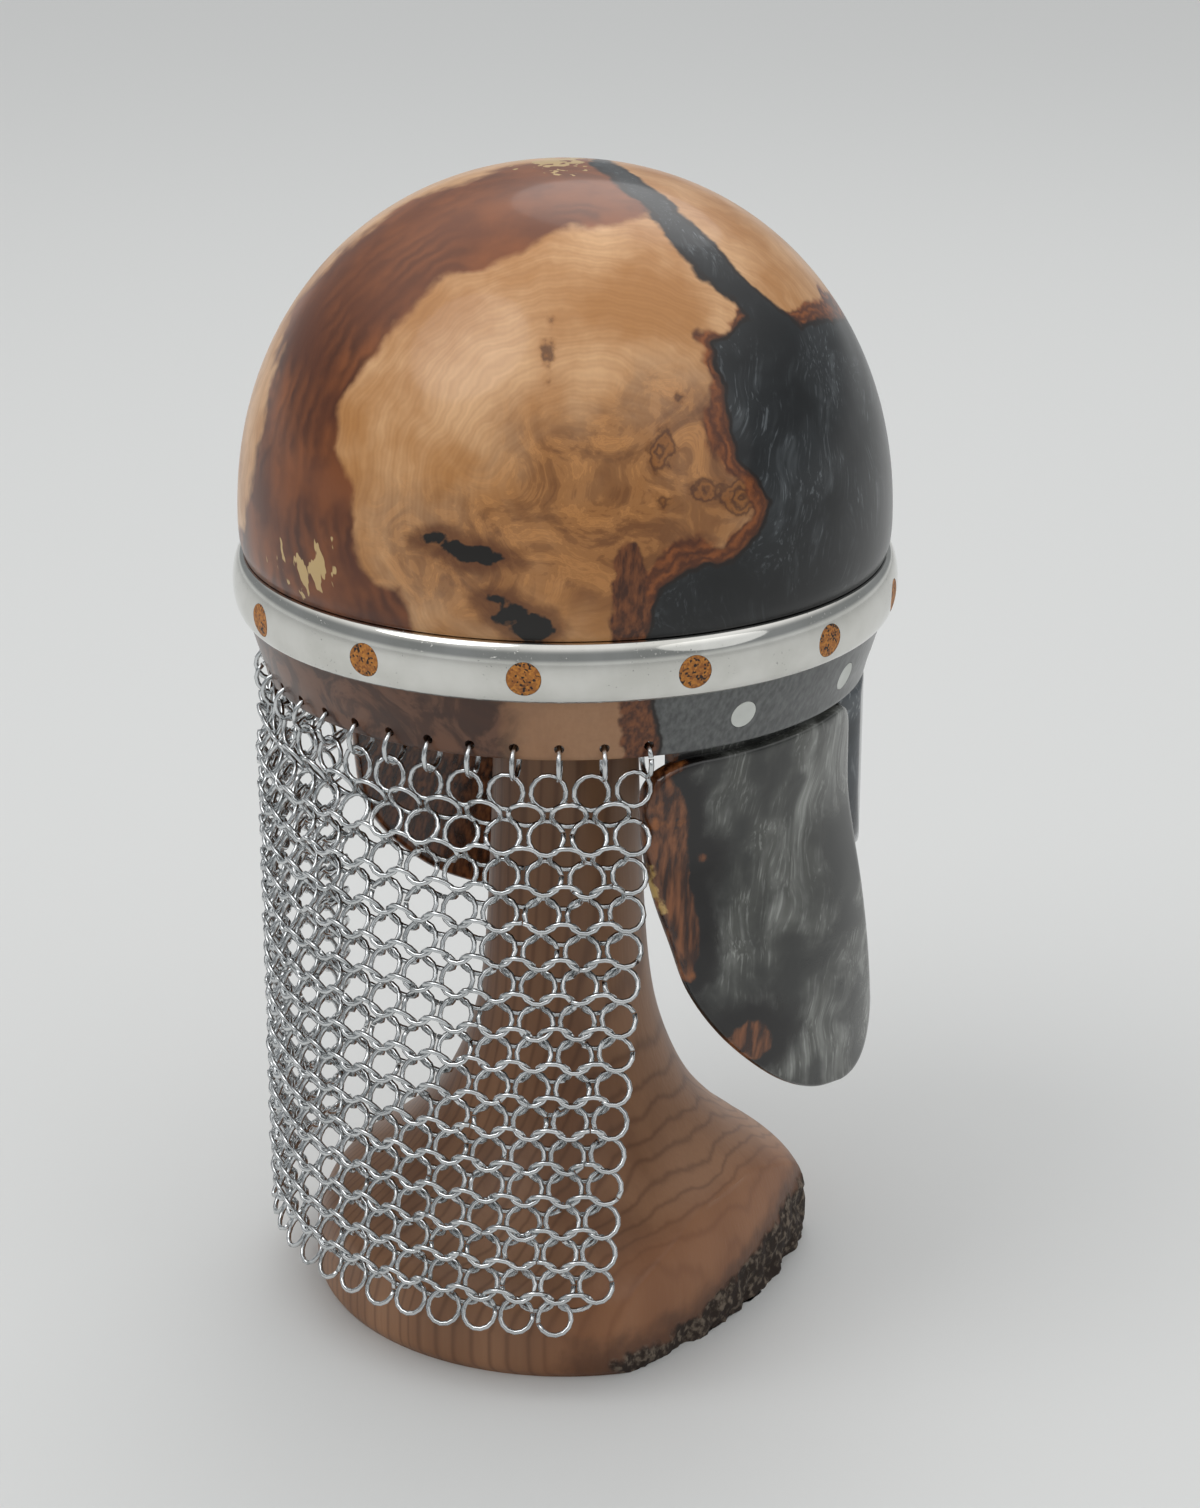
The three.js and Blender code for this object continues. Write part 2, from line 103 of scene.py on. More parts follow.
class Kind(Enum):
    """Kinds of node: type name, inputs in use, number of the output in use, and settings."""

    PLACE = ("ShaderNodeTexCoord", (), 3, {})
    WAY = ("ShaderNodeTexCoord", (), 0, {})
    FIELD = ("ShaderNodeAttribute", (), 2, {})
    FIT = ("ShaderNodeMapping", ("Vector", "Scale", "Rotation", "Location"), 0, {})
    NOISE = ("ShaderNodeTexNoise", ("Vector", "Scale", "Detail", "Roughness", "Distortion"), 0, {})
    DRIFT = ("ShaderNodeTexNoise", ("Vector", "Scale", "Detail"), 1, {})
    CELLS = ("ShaderNodeTexVoronoi", ("Vector", "Scale"), 1, {})
    RED = ("ShaderNodeSeparateColor", (0,), 0, {})
    GREEN = ("ShaderNodeSeparateColor", (0,), 1, {})
    UP = ("ShaderNodeSeparateXYZ", (0,), 2, {})
    MIX = ("ShaderNodeMix", (0, 6, 7), 2, {"data_type": "RGBA"})
    RISE = ("ShaderNodeMapRange", (0, 1, 2), 0, {"interpolation_type": "SMOOTHSTEP"})
    RANGE = ("ShaderNodeMapRange", (0, 1, 2, 3, 4), 0, {})
    SUM = ("ShaderNodeMath", (0, 1), 0, {"operation": "ADD"})
    TIMES = ("ShaderNodeMath", (0, 1), 0, {"operation": "MULTIPLY"})
    TIMES_PLUS = ("ShaderNodeMath", (0, 1, 2), 0, {"operation": "MULTIPLY_ADD"})
    POWER = ("ShaderNodeMath", (0, 1), 0, {"operation": "POWER"})
    SINE = ("ShaderNodeMath", (0,), 0, {"operation": "SINE"})
    LESS = ("ShaderNodeVectorMath", (0, 1), 0, {"operation": "SUBTRACT"})
    SCALED = ("ShaderNodeVectorMath", (0, 1), 0, {"operation": "MULTIPLY"})
    PULLED = ("ShaderNodeVectorMath", (0, 1, 2), 0, {"operation": "MULTIPLY_ADD"})
    GAP = ("ShaderNodeVectorMath", (0, 1), 1, {"operation": "DISTANCE"})
    BUMP = ("ShaderNodeBump", ("Height", "Strength", "Distance"), 0, {})


def fill(node: Node, inputs: dict) -> None:
    """Gives a node its inputs: sockets are linked, hex colours turned into linear light.

    Args:
        node: The node.
        inputs: A socket, a value or a hex colour for each input, by name or number.
    """
    for key, value in inputs.items():
        if isinstance(value, Socket):
            node.id_data.links.new(value, node.inputs[key])
        else:
            node.inputs[key].default_value = linear(value) if isinstance(value, str) else value


def add(tree: Tree, kind: Kind, *values, **settings) -> Socket:
    """Adds a node with its settings and links.

    Args:
        tree: The node tree.
        kind: The kind of node.
        *values: A socket or a value for each input of the kind, in order.
        **settings: The node's own properties, beyond those of its kind.

    Returns:
        The output that the kind is used for.
    """
    type_name, inputs, output, own = kind.value
    made = tree.nodes.new(type_name)
    for key, value in {**own, **settings}.items():
        setattr(made, key, value)
    fill(made, dict(zip(inputs, values)))
    return made.outputs[output]


def turned(profile: Sequence[Pair], steps: int, closed: bool = False) -> Form:
    """Spins a profile round the upright axis.

    Args:
        profile: Radius and height above the floor of each point, in millimetres.
        steps: Steps of the full turn.
        closed: Whether the last point joins the first.

    Returns:
        The turned body, its faces pointing outward.
    """
    bm = bmesh.new()
    points = [bm.verts.new((radius * MM, 0, height * MM)) for radius, height in profile]
    ends = zip(points, points[1:] + points[:1] if closed else points[1:])
    edges = [bm.edges.new(pair) for pair in ends]
    bmesh.ops.spin(
        bm, geom=[*points, *edges], cent=(0, 0, 0), axis=(0, 0, 1),
        angle=math.tau, steps=steps, use_merge=True,
    )
    return cleaned(bm)


def cleaned(bm: Form) -> Form:
    """Welds a mesh's seams and poles and points its faces outward.

    Args:
        bm: The mesh.

    Returns:
        The same mesh.
    """
    bmesh.ops.remove_doubles(bm, verts=bm.verts, dist=MERGE)
    bmesh.ops.dissolve_degenerate(bm, edges=bm.edges, dist=MERGE)
    bmesh.ops.recalc_face_normals(bm, faces=bm.faces)
    return bm


def mapped(
    bm: Form, columns: int, rows: int, place: Callable[[float, float], Vector]
) -> None:
    """Adds a grid whose points are put in place by a function of its two shares.

    Args:
        bm: The mesh that gets the grid.
        columns: Cells across.
        rows: Cells up.
        place: Gives a point's place from its shares across and up, each from 0 to 1.
    """
    made = bmesh.ops.create_grid(bm, x_segments=columns, y_segments=rows, size=0.5)
    for vert in made["verts"]:
        vert.co = place(vert.co.x + 0.5, vert.co.y + 0.5)


def as_object(name: str, bm: Form) -> Piece:
    """Makes a smooth shaded object of a mesh, with its sharp edges kept.

    Args:
        name: The object's name.
        bm: The mesh, which is used up.

    Returns:
        The object.
    """
    mesh = bpy.data.meshes.new(name)
    bm.to_mesh(mesh)
    bm.free()
    mesh.shade_smooth()
    mesh.set_sharp_from_angle(angle=SHARP_ANGLE)
    made = bpy.data.objects.new(name, mesh)
    bpy.context.scene.collection.objects.link(made)
    return made


def carve(body: Piece, bm: Form) -> None:
    """Cuts a closed mesh out of an object and removes the cutter.

    Args:
        body: The object that is cut.
        bm: The cutter, which is used up.
    """
    cutter = as_object("cutter", bm)
    step = body.modifiers.new("carve", "BOOLEAN")
    step.operation = "DIFFERENCE"
    step.solver = "EXACT"
    step.object = cutter
    graph = bpy.context.evaluated_depsgraph_get()
    carved = bpy.data.meshes.new_from_object(body.evaluated_get(graph))
    body.modifiers.clear()
    body.data = carved
    carved.set_sharp_from_angle(angle=SHARP_ANGLE)
    bpy.data.objects.remove(cutter)


def rods(places: Sequence[Pair], radius: float, reach: Pair, sides: int) -> Form:
    """Makes round rods on radii of the helmet, to drill it with.

    Args:
        places: Angle in degrees and height above the rim of each rod.
        radius: The rods' radius.
        reach: Distances from the axis where the rods start and end.
        sides: Sides of each rod.

    Returns:
        All the rods in one mesh.
    """
    bm = bmesh.new()
    lie = Matrix.Rotation(math.pi / 2, 4, "X")
    for angle, height in places:
        out = Matrix.Translation((0, -sum(reach) / 2 * MM, (RIM_Z + height) * MM)) @ lie
        bmesh.ops.create_cone(
            bm, cap_ends=True, segments=sides, radius1=radius * MM, radius2=radius * MM,
            depth=(reach[1] - reach[0]) * MM,
            matrix=Matrix.Rotation(math.radians(angle), 4, "Z") @ out,
        )
    return cleaned(bm)


def inlay(
    bm: Form, angle: float, height: float, radius: float,
    surface: Callable[[float], float], depth: float,
) -> None:
    """Adds a round inlay whose face follows a turned surface.

    Args:
        bm: The mesh that gets the inlay.
        angle: Angle round the axis in degrees.
        height: Height of its middle above the rim.
        radius: Its radius.
        surface: The surface's radius at a height above the rim.
        depth: How far its wall goes in.
    """
    face_share = 0.75
    sides, rings = 32, 8

    def place(across: float, up: float) -> Vector:
        """Gives a point of the inlay.

        Args:
            across: Share of the turn round it.
            up: Share of the way from its middle over its edge to the foot of its wall.

        Returns:
            The point in metres.
        """
        turn = across * math.tau
        r = radius * min(up / face_share, 1)
        side, lift = r * math.cos(turn), r * math.sin(turn)
        sunk = depth * max(up - face_share, 0) / (1 - face_share)
        out = math.sqrt(surface(height + lift) ** 2 - side**2) - sunk
        spot = Vector((side, -out, RIM_Z + height + lift)) * MM
        return Matrix.Rotation(math.radians(angle), 3, "Z") @ spot

    mapped(bm, sides, rings, place)


def smooth_curve(points: Sequence[Pair], per_span: int) -> list[Pair]:
    """Runs a smooth curve through points.

    Args:
        points: The points it passes.
        per_span: Steps between two points.

    Returns:
        Points along the curve, both ends included.
    """
    given = [Vector(p) for p in points]
    ends = [given[0] * 2 - given[1], *given, given[-1] * 2 - given[-2]]
    curve = []
    for a, b, c, d in zip(ends, ends[1:], ends[2:], ends[3:]):
        for i in range(per_span):
            t = i / per_span
            bend = b * 2 + (c - a) * t + (a * 2 - b * 5 + c * 4 - d) * t**2
            curve.append(tuple((bend + (b * 3 - a - c * 3 + d) * t**3) / 2))
    return [*curve, tuple(given[-1])]


def corner(start: Pair, pull: Pair, end: Pair, steps: int = 10) -> list[Pair]:
    """Rounds a corner between two points toward a third.

    Args:
        start: Where the curve starts.
        pull: The corner that it is drawn toward.
        end: Where it ends.
        steps: Steps along it.

    Returns:
        Points along the curve, both ends included.
    """
    shares = [i / steps for i in range(steps + 1)]
    return [
        tuple((1 - t) ** 2 * a + 2 * t * (1 - t) * b + t * t * c for a, b, c in zip(start, pull, end))
        for t in shares
    ]


def spaced(points: Sequence[Pair], count: int) -> np.ndarray:
    """Spaces points evenly along a closed outline.

    Args:
        points: The outline.
        count: How many points.

    Returns:
        The points, one in each row.
    """
    loop = np.array([*points, points[0]])
    steps = np.hypot(*np.diff(loop, axis=0).T)
    along = np.concatenate([[0], np.cumsum(steps)])
    at = np.linspace(0, along[-1], count, endpoint=False)
    return np.stack([np.interp(at, along, loop[:, k]) for k in (0, 1)], axis=1)


def path_distance(spots: np.ndarray, path: Sequence[Pair]) -> np.ndarray:
    """Gives each spot's distance from a path of straight runs.

    Args:
        spots: The spots, one in each row.
        path: The points that the runs join.

    Returns:
        The distances.
    """
    best = np.full(len(spots), np.inf)
    for a, b in zip(np.array(path[:-1], float), np.array(path[1:], float)):
        run = b - a
        share = np.clip((spots - a) @ run / (run @ run), 0, 1)
        best = np.minimum(best, np.hypot(*(spots - a - share[:, None] * run).T))
    return best


def region_depth(spots: np.ndarray, outline: Sequence[Pair]) -> np.ndarray:
    """Gives how deep each spot lies inside an outline, negative outside it.

    Args:
        spots: The spots, one in each row.
        outline: The corners of the outline.

    Returns:
        The depths.
    """
    loop = [*outline, outline[0]]
    inside = np.zeros(len(spots), bool)
    for (ax, ay), (bx, by) in zip(loop[:-1], loop[1:]):
        if ay != by:
            spans = (ay > spots[:, 1]) != (by > spots[:, 1])
            inside ^= spans & (spots[:, 0] < ax + (spots[:, 1] - ay) / (by - ay) * (bx - ax))
    return np.where(inside, 1, -1) * path_distance(spots, loop)


def blot_depth(spots: np.ndarray, blots: Sequence[tuple]) -> np.ndarray:
    """Gives how deep each spot lies in the nearest of some ovals of middle and half sizes.

    Args:
        spots: The spots, one in each row.
        blots: Middle across and up, and half sizes across and up, of each oval.

    Returns:
        The depths.
    """
    depths = [
        (1 - np.hypot((spots[:, 0] - x) / across, (spots[:, 1] - y) / up)) * min(across, up)
        for x, y, across, up in blots
    ]
    return np.max(depths, axis=0)


def store(piece: Piece, **values: np.ndarray) -> None:
    """Keeps numbers for each point of a piece, for its material to read.

    Args:
        piece: The piece.
        **values: The numbers under each name.
    """
    for name, numbers in values.items():
        kept = piece.data.attributes.new(name, "FLOAT", "POINT")
        kept.data.foreach_set("value", np.asarray(numbers, np.float32))


def points_of(piece: Piece) -> np.ndarray:
    """Gives a piece's points in millimetres, heights counted from the rim.

    Args:
        piece: The piece.

    Returns:
        The points, one in each row.
    """
    flat = np.zeros(len(piece.data.vertices) * 3, np.float32)
    piece.data.vertices.foreach_get("co", flat)
    return flat.reshape(-1, 3) / MM - (0, 0, RIM_Z)


@dataclass(frozen=True)
class Finish:
    """A surface of one real material."""

    name: str

    def material(self) -> bpy.types.Material:
        """Makes the material with its pattern.

        Returns:
            The material.
        """
        made = bpy.data.materials.new(self.name)
        made.use_nodes = True
        self.paint(made.node_tree, made.node_tree.nodes["Principled BSDF"])
        return made

    def paint(self, tree: Tree, shader: Node) -> None:
        """Sets the shader and links the pattern to it.

        Args:
            tree: The material's node tree.
            shader: Its surface shader.
        """
        raise NotImplementedError

    @staticmethod
    def spot(tree: Tree) -> Socket:
        """Gives the place on the piece in millimetres, turned to the figure's direction."""
        upright = add(
            tree, Kind.FIT, add(tree, Kind.PLACE), (1 / MM,) * 3, (0, 0, -FIGURE_TURN), (0, 0, -RIM_Z))
        return add(tree, Kind.FIT, upright, (1, 1, 1), (FIGURE_TILT, 0, 0))

    @staticmethod
    def wobble(
        tree: Tree, spot: Socket, size: float, reach: float, detail: float = 4
    ) -> Socket:
        """Gives a smooth random number round zero, with the pattern's size and reach in mm."""
        return add(tree, Kind.RANGE, add(tree, Kind.NOISE, spot, 1 / size, detail), 0.2, 0.8, -reach, reach)

    @staticmethod
    def stripes(tree: Tree, distance: Socket, pitch: float) -> Socket:
        """Gives stripes from 0 to 1 along a distance, one each pitch in mm."""
        wave = add(tree, Kind.SINE, add(tree, Kind.TIMES, distance, math.tau / pitch))
        return add(tree, Kind.RANGE, wave, -1.0, 1.0)

    @staticmethod
    def layers(tree: Tree, base: Socket | str, *coats: tuple) -> Socket:
        """Lays colours over a base colour.

        Args:
            tree: The node tree.
            base: The lowest colour.
            *coats: For each colour, the value that shows it, the values where it starts to show
                and shows most, how much it shows there, and the colour.

        Returns:
            The colour of all the layers.
        """
        for value, start, full, share, colour in coats:
            shown = add(tree, Kind.RISE, value, start, full)
            base = add(tree, Kind.MIX, add(tree, Kind.TIMES, shown, share), base, colour)
        return base


@dataclass(frozen=True)
class PearlResin(Finish):
    """Casting resin with pearl powder: dark and deep, with pale wisps, polished to a gloss."""

    deep: str = "#131517"
    mid: str = "#292c2e"
    wisp: str = "#878d91"
    wisp_amount: float = 0.6
    # Width and length in mm, the range of noise where it shows, and strength of each kind of wisp.
    threads: tuple[tuple, ...] = ((6.0, 44.0, 0.5, 0.76, 0.4), (1.3, 22.0, 0.54, 0.74, 0.8))
    drift_size: float = 60.0
    drift_reach: float = 48.0
    cloud_size: float = 24.0
    gloss: ClassVar[dict[str, float]] = {"Roughness": 0.16, "Coat Weight": 0.25, "Coat Roughness": 0.05}

    def resin(self, tree: Tree, spot: Socket) -> Socket:
        """Gives the resin's colour: soft clouds with thin drawn-out wisps of pearl.

        Args:
            tree: The material's node tree.
            spot: The place on the piece in millimetres.

        Returns:
            The colour.
        """
        put = partial(add, tree)
        pull = put(Kind.LESS, put(Kind.DRIFT, spot, 1 / self.drift_size, 2), (0.5,) * 3)
        bent = put(Kind.PULLED, pull, (self.drift_reach,) * 3, spot)
        cloud = put(Kind.NOISE, bent, 1 / self.cloud_size, 4)
        colour = self.layers(tree, self.deep, (cloud, 0.3, 0.72, 1.0, self.mid))
        # Wisps are drawn out along the pour: thin threads, and softer veils behind them.
        for width, length, low, high, share in self.threads:
            drawn = put(Kind.FIT, bent, (1 / width, 1 / width, 1 / length))
            thread = put(Kind.RISE, put(Kind.NOISE, drawn, 1.0, 3, 0.55), low, high)
            shown = put(Kind.TIMES, put(Kind.RISE, cloud, 0.4, 0.62), share * self.wisp_amount)
            colour = put(Kind.MIX, put(Kind.TIMES, thread, shown), colour, self.wisp)
        return colour

    def paint(self, tree: Tree, shader: Node) -> None:
        """Sets the shader and links the pattern to it.

        Args:
            tree: The material's node tree.
            shader: Its surface shader.
        """
        fill(shader, {"Base Color": self.resin(tree, self.spot(tree)), **self.gloss})


@dataclass(frozen=True)
class Figure:
    """The patterns that all the layers of the burl share."""

    tree: Tree
    spot: Socket
    depth: dict[str, Socket]
    broad: Socket
    fine: Socket
    ragged: Socket
    fibre: Socket
    patch: Socket
    swirl: Socket

    def edge(self, name: str, pattern: Socket, amount: float) -> Socket:
        """Gives how deep a spot lies in a marked region whose border is broken by a pattern."""
        return add(self.tree, Kind.TIMES_PLUS, pattern, amount, self.depth[name])


@dataclass(frozen=True)
class BurlAndResin(PearlResin):
    """Turned burl with red heartwood, pale sapwood and black bark, cast into pearl resin, lacquered."""

    regions: ClassVar[tuple[str, ...]] = (
        "resin", "void", "heart", "eyes", "cream", "black", "burl", "strip", "height")
    # Size and reach in mm, and detail, of the patterns that bend lines and break borders.
    broad_bend: tuple[float, ...] = (22.0, 7.0, 3.0)
    fine_bend: tuple[float, ...] = (6.0, 2.2, 5.0)
    fleck_bend: tuple[float, ...] = (4.6, 10.0, 2.0)
    pocket_bend: tuple[float, ...] = (6.0, 1.5, 3.0)
    fibre_width: float = 1.6
    fibre_stretch: tuple[float, ...] = (1.0, 1.0, 0.12)
    fleck_stretch: tuple[float, ...] = (1.0, 1.0, 0.4)
    patch_size: float = 34.0
    ring_middle: tuple[float, float, float] = (6.0, 0.0, 47.0)
    ring_stretch: tuple[float, ...] = (1.0, 0.12, 1.0)
    ring_pitch: float = 4.2
    close_rings: float = 2.7
    swirl_size: float = 21.0
    swirl_turns: float = 60.0
    curl_pitch: float = 5.1
    eye_pitch: float = 2.6
    bark_pitch: float = 3.4
    pore_depth: float = 0.15

    def figure(self, tree: Tree) -> Figure:
        """Makes the patterns that the layers share.

        Args:
            tree: The material's node tree.

        Returns:
            The patterns.
        """
        put = partial(add, tree)
        spot = self.spot(tree)
        broad, fine = (self.wobble(tree, spot, *bend) for bend in (self.broad_bend, self.fine_bend))
        return Figure(
            tree, spot, {name: put(Kind.FIELD, attribute_name=name) for name in self.regions}, broad, fine,
            ragged=put(Kind.TIMES_PLUS, fine, 0.4, put(Kind.TIMES, broad, 0.45)),
            fibre=put(Kind.NOISE, put(Kind.FIT, spot, self.fibre_stretch), 1 / self.fibre_width, 4),
            patch=put(Kind.NOISE, spot, 1 / self.patch_size, 4),
            swirl=put(Kind.NOISE, spot, 1 / self.swirl_size, 5, 0.6, 2.2),
        )

    def wood(self, to: Figure) -> Socket:
        """Gives the wood's colour: pale sapwood, brown burl and red-brown heartwood.

        Args:
            to: The shared patterns.

        Returns:
            The colour.
        """
        tree, put = to.tree, partial(add, to.tree)
        # Growth rings round the middle of the pale patch, gently bent by the burl.
        reach = put(Kind.GAP, put(Kind.SCALED, to.spot, self.ring_stretch), self.ring_middle)
        bent = put(Kind.TIMES_PLUS, to.fine, 0.1, put(Kind.TIMES_PLUS, to.broad, 0.6, reach))
        rings = self.stripes(tree, bent, self.ring_pitch)
        close = self.stripes(tree, bent, self.ring_pitch / self.close_rings)
        pale = self.layers(tree, "#e0b283", (to.patch, 0.34, 0.66, 1.0, "#b9824b"))
        lines = ((rings, 0.16, "#9a6431"), (close, 0.1, "#80502a"), (to.fibre, 0.2, "#97653a"))
        for pattern, share, tone in lines:
            pale = put(Kind.MIX, put(Kind.TIMES, pattern, share), pale, tone)
        # Burl: tight swirls of brown.
        curl = self.stripes(tree, put(Kind.TIMES, to.swirl, self.swirl_turns), self.curl_pitch)
        burl = self.layers(tree, "#b97f47", (to.swirl, 0.36, 0.64, 1.0, "#6d3f1c"))
        burl = put(Kind.MIX, put(Kind.TIMES, curl, 0.28), burl, "#5f3616")
        # Heartwood: streaked, and lighter and warmer toward the dome's top, which is painted top light; the
        # broad streaks are the wood's own tone.
        heart = self.layers(
            tree, put(Kind.MIX, rings, "#7d4522", "#4c250f"), (to.patch, 0.36, 0.64, 1.0, "#5d2f17"))
        heart = put(Kind.MIX, put(Kind.TIMES, to.fibre, 0.4), heart, "#38190b")
        height = to.depth["height"]
        heart = self.layers(
            tree, heart, (height, 110, 165, 0.35, "#8f5026"), (to.broad, -2.5, 4.5, 0.42, "#a05c2c"))
        in_heart = put(Kind.SUM, to.depth["heart"], to.ragged)
        # The skirt is duller: tan, and mottled dark brown where the heartwood reaches it.
        mottle = self.layers(tree, "#6b4a37", (to.swirl, 0.4, 0.6, 1.0, "#3d271c"))
        tan = put(Kind.MIX, put(Kind.TIMES, to.fibre, 0.5), "#a47c5d", "#7d583e")
        skirt = self.layers(tree, tan, (in_heart, -9, 2, 1.0, mottle))
        return self.layers(
            tree, pale, (to.edge("burl", to.broad, 1.0), -16, 12, 0.82, burl),
            (in_heart, -1.4, 1.8, 1.0, heart), (height, 30, 22, 0.85, skirt))

    def marks(self, to: Figure, wood: Socket) -> Socket:
        """Lays the burl's eyes, flecks, black pockets and bark over the wood.

        Args:
            to: The shared patterns.
            wood: The wood's colour.

        Returns:
            The colour.
        """
        tree, put = to.tree, partial(add, to.tree)
        in_eye = to.edge("eyes", to.fine, 1.3)
        eye = put(Kind.MIX, self.stripes(tree, in_eye, self.eye_pitch), "#8f5a2a", "#4f2a12")
        tall = put(Kind.FIT, to.spot, self.fleck_stretch)
        fleck = to.edge("cream", self.wobble(tree, tall, *self.fleck_bend), 1.0)
        pocket = to.edge("black", self.wobble(tree, to.spot, *self.pocket_bend), 1.0)
        # Bark layers line the resin.
        shore = put(Kind.SUM, to.depth["void"], to.ragged)
        grain = self.stripes(tree, put(Kind.TIMES_PLUS, to.fine, 0.8, shore), self.bark_pitch)
        bark = self.layers(
            tree, put(Kind.MIX, grain, "#8a4d23", "#5a2e14"), (to.swirl, 0.45, 0.7, 1.0, "#4a2410"))
        layered = self.layers(tree, "#804a26", (to.fibre, 0.25, 0.7, 1.0, "#401f0e"))
        return self.layers(
            tree, wood, (in_eye, -1.5, 1.2, 0.85, eye), (fleck, 4.8, 5.8, 1.0, "#c4a774"),
            (pocket, -4.5, -0.5, 0.7, "#54290f"), (pocket, -0.3, 0.5, 1.0, "#14100d"),
            (put(Kind.TIMES_PLUS, to.broad, 0.9, shore), -8.0, -5.4, 1.0, bark),
            (to.edge("strip", to.fine, 0.8), -0.8, 0.8, 1.0, layered))

    def paint(self, tree: Tree, shader: Node) -> None:
        """Sets the shader and links the pattern to it.

        Args:
            tree: The material's node tree.
            shader: Its surface shader.
        """
        to = self.figure(tree)
        height = to.depth["height"]
        edge = add(tree, Kind.SUM, to.depth["resin"], to.ragged)
        # The resin gets a painted shade toward the band that darkens the dome's lower sides nearly to
        # black, and it is silvery in the skirt.
        brushed = self.layers(tree, "#4a4b4b", (to.fibre, 0.2, 0.85, 1.0, "#6c6e6d"))
        resin = self.layers(
            tree, self.resin(tree, to.spot), (height, 86, 50, 0.62, "#0b0c0d"),
            (height, 36, 30, 1.0, brushed))
        colour = self.layers(
            tree, self.marks(to, self.wood(to)), (edge, -2.4, -0.8, 1.0, "#1a100b"),
            (edge, -0.5, 0.5, 1.0, resin))
        fill(shader, {
            "Base Color": colour, "Roughness": add(tree, Kind.RANGE, to.patch, 0.0, 1.0, 0.3, 0.44),
            "Specular IOR Level": 0.28, "Coat Weight": 0.36, "Coat Roughness": 0.1,
            "Normal": add(tree, Kind.BUMP, to.fibre, 0.12, self.pore_depth * MM),
        })


@dataclass(frozen=True)
class EdgedResin(PearlResin):
    """Pearl resin cast against a raw edge of layered bark and wood, polished to a gloss."""

    # Size and reach in mm, and detail, of the patterns that break the border.
    fine_bend: tuple[float, ...] = (6.0, 2.4, 5.0)
    broad_bend: tuple[float, ...] = (16.0, 2.0, 3.0)
    grain_width: float = 2.4
    grain_stretch: tuple[float, ...] = (1.0, 1.0, 0.06)
    patch_size: float = 8.0

    def paint(self, tree: Tree, shader: Node) -> None:
        """Sets the shader and links the pattern to it.

        Args:
            tree: The material's node tree.
            shader: Its surface shader.
        """
        put = partial(add, tree)
        spot = self.spot(tree)
        depth, sliver = (put(Kind.FIELD, attribute_name=name) for name in ("wood", "sliver"))
        fine, broad = (self.wobble(tree, spot, *bend) for bend in (self.fine_bend, self.broad_bend))
        ragged = put(Kind.TIMES_PLUS, fine, 0.5, broad)
        edge = put(Kind.SUM, depth, ragged)
        grain = put(Kind.NOISE, put(Kind.FIT, spot, self.grain_stretch), 1 / self.grain_width, 4)
        wood = self.layers(
            tree, "#83502f", (grain, 0.3, 0.66, 1.0, "#32190d"),
            (put(Kind.NOISE, spot, 1 / self.patch_size, 5), 0.6, 0.85, 1.0, "#a5632f"),
            (put(Kind.SUM, sliver, fine), -0.4, 0.8, 1.0, "#c9a765"))
        border = self.layers(tree, "#100d0c", (edge, -1.0, 0.8, 1.0, wood))
        colour = self.layers(tree, self.resin(tree, spot), (edge, -14, -4, 1.0, border))
        fill(shader, {"Base Color": colour, **self.gloss})


@dataclass(frozen=True)
class CastAluminium(Finish):
    """Aluminium: bright and mirror-like where polished, with a few fine casting pits."""

    tone: str = "#dcdbd6"
    worn: str = "#cfcec8"
    roughness: float = 0.075
    pit_size: float = 1.1
    pit_depth: float = 0.25
    haze_size: float = 14.0

    def paint(self, tree: Tree, shader: Node) -> None:
        """Sets the shader and links the pattern to it.

        Args:
            tree: The material's node tree.
            shader: Its surface shader.
        """
        put = partial(add, tree)
        spot = self.spot(tree)
        haze = put(Kind.NOISE, spot, 1 / self.haze_size, 4)
        grit = put(Kind.RISE, put(Kind.NOISE, spot, 1 / self.pit_size, 2), 0.68, 0.74)
        pits = put(Kind.TIMES, grit, put(Kind.RISE, haze, 0.5, 0.6))
        tone = self.layers(tree, self.tone, (haze, 0.3, 0.7, 1.0, self.worn))
        spread = (self.roughness * 0.75, self.roughness * 1.3)
        fill(shader, {
            "Metallic": 1.0, "Base Color": put(Kind.MIX, put(Kind.TIMES, pits, 0.6), tone, "#77797a"),
            "Roughness": put(Kind.RANGE, haze, 0.0, 1.0, *spread),
            "Normal": put(Kind.BUMP, pits, 0.5, self.pit_depth * MM, invert=True),
        })


@dataclass(frozen=True)
class GranularCork(Finish):
    """Agglomerated cork: orange and dark grains under a millimetre across, filled matt."""

    grain: float = 0.75
    grain_depth: float = 0.2

    def paint(self, tree: Tree, shader: Node) -> None:
        """Sets the shader and links the pattern to it.

        Args:
            tree: The material's node tree.
            shader: Its surface shader.
        """
        put = partial(add, tree)
        cells = put(Kind.CELLS, self.spot(tree), 1 / self.grain)
        shade = put(Kind.RED, cells)
        colour = put(Kind.MIX, shade, "#8a4f1c", "#c4802f")
        fill(shader, {
            "Base Color": self.layers(tree, colour, (put(Kind.GREEN, cells), 0.8, 0.86, 1.0, "#24140a")),
            "Roughness": 0.55, "Normal": put(Kind.BUMP, shade, 0.35, self.grain_depth * MM),
        })


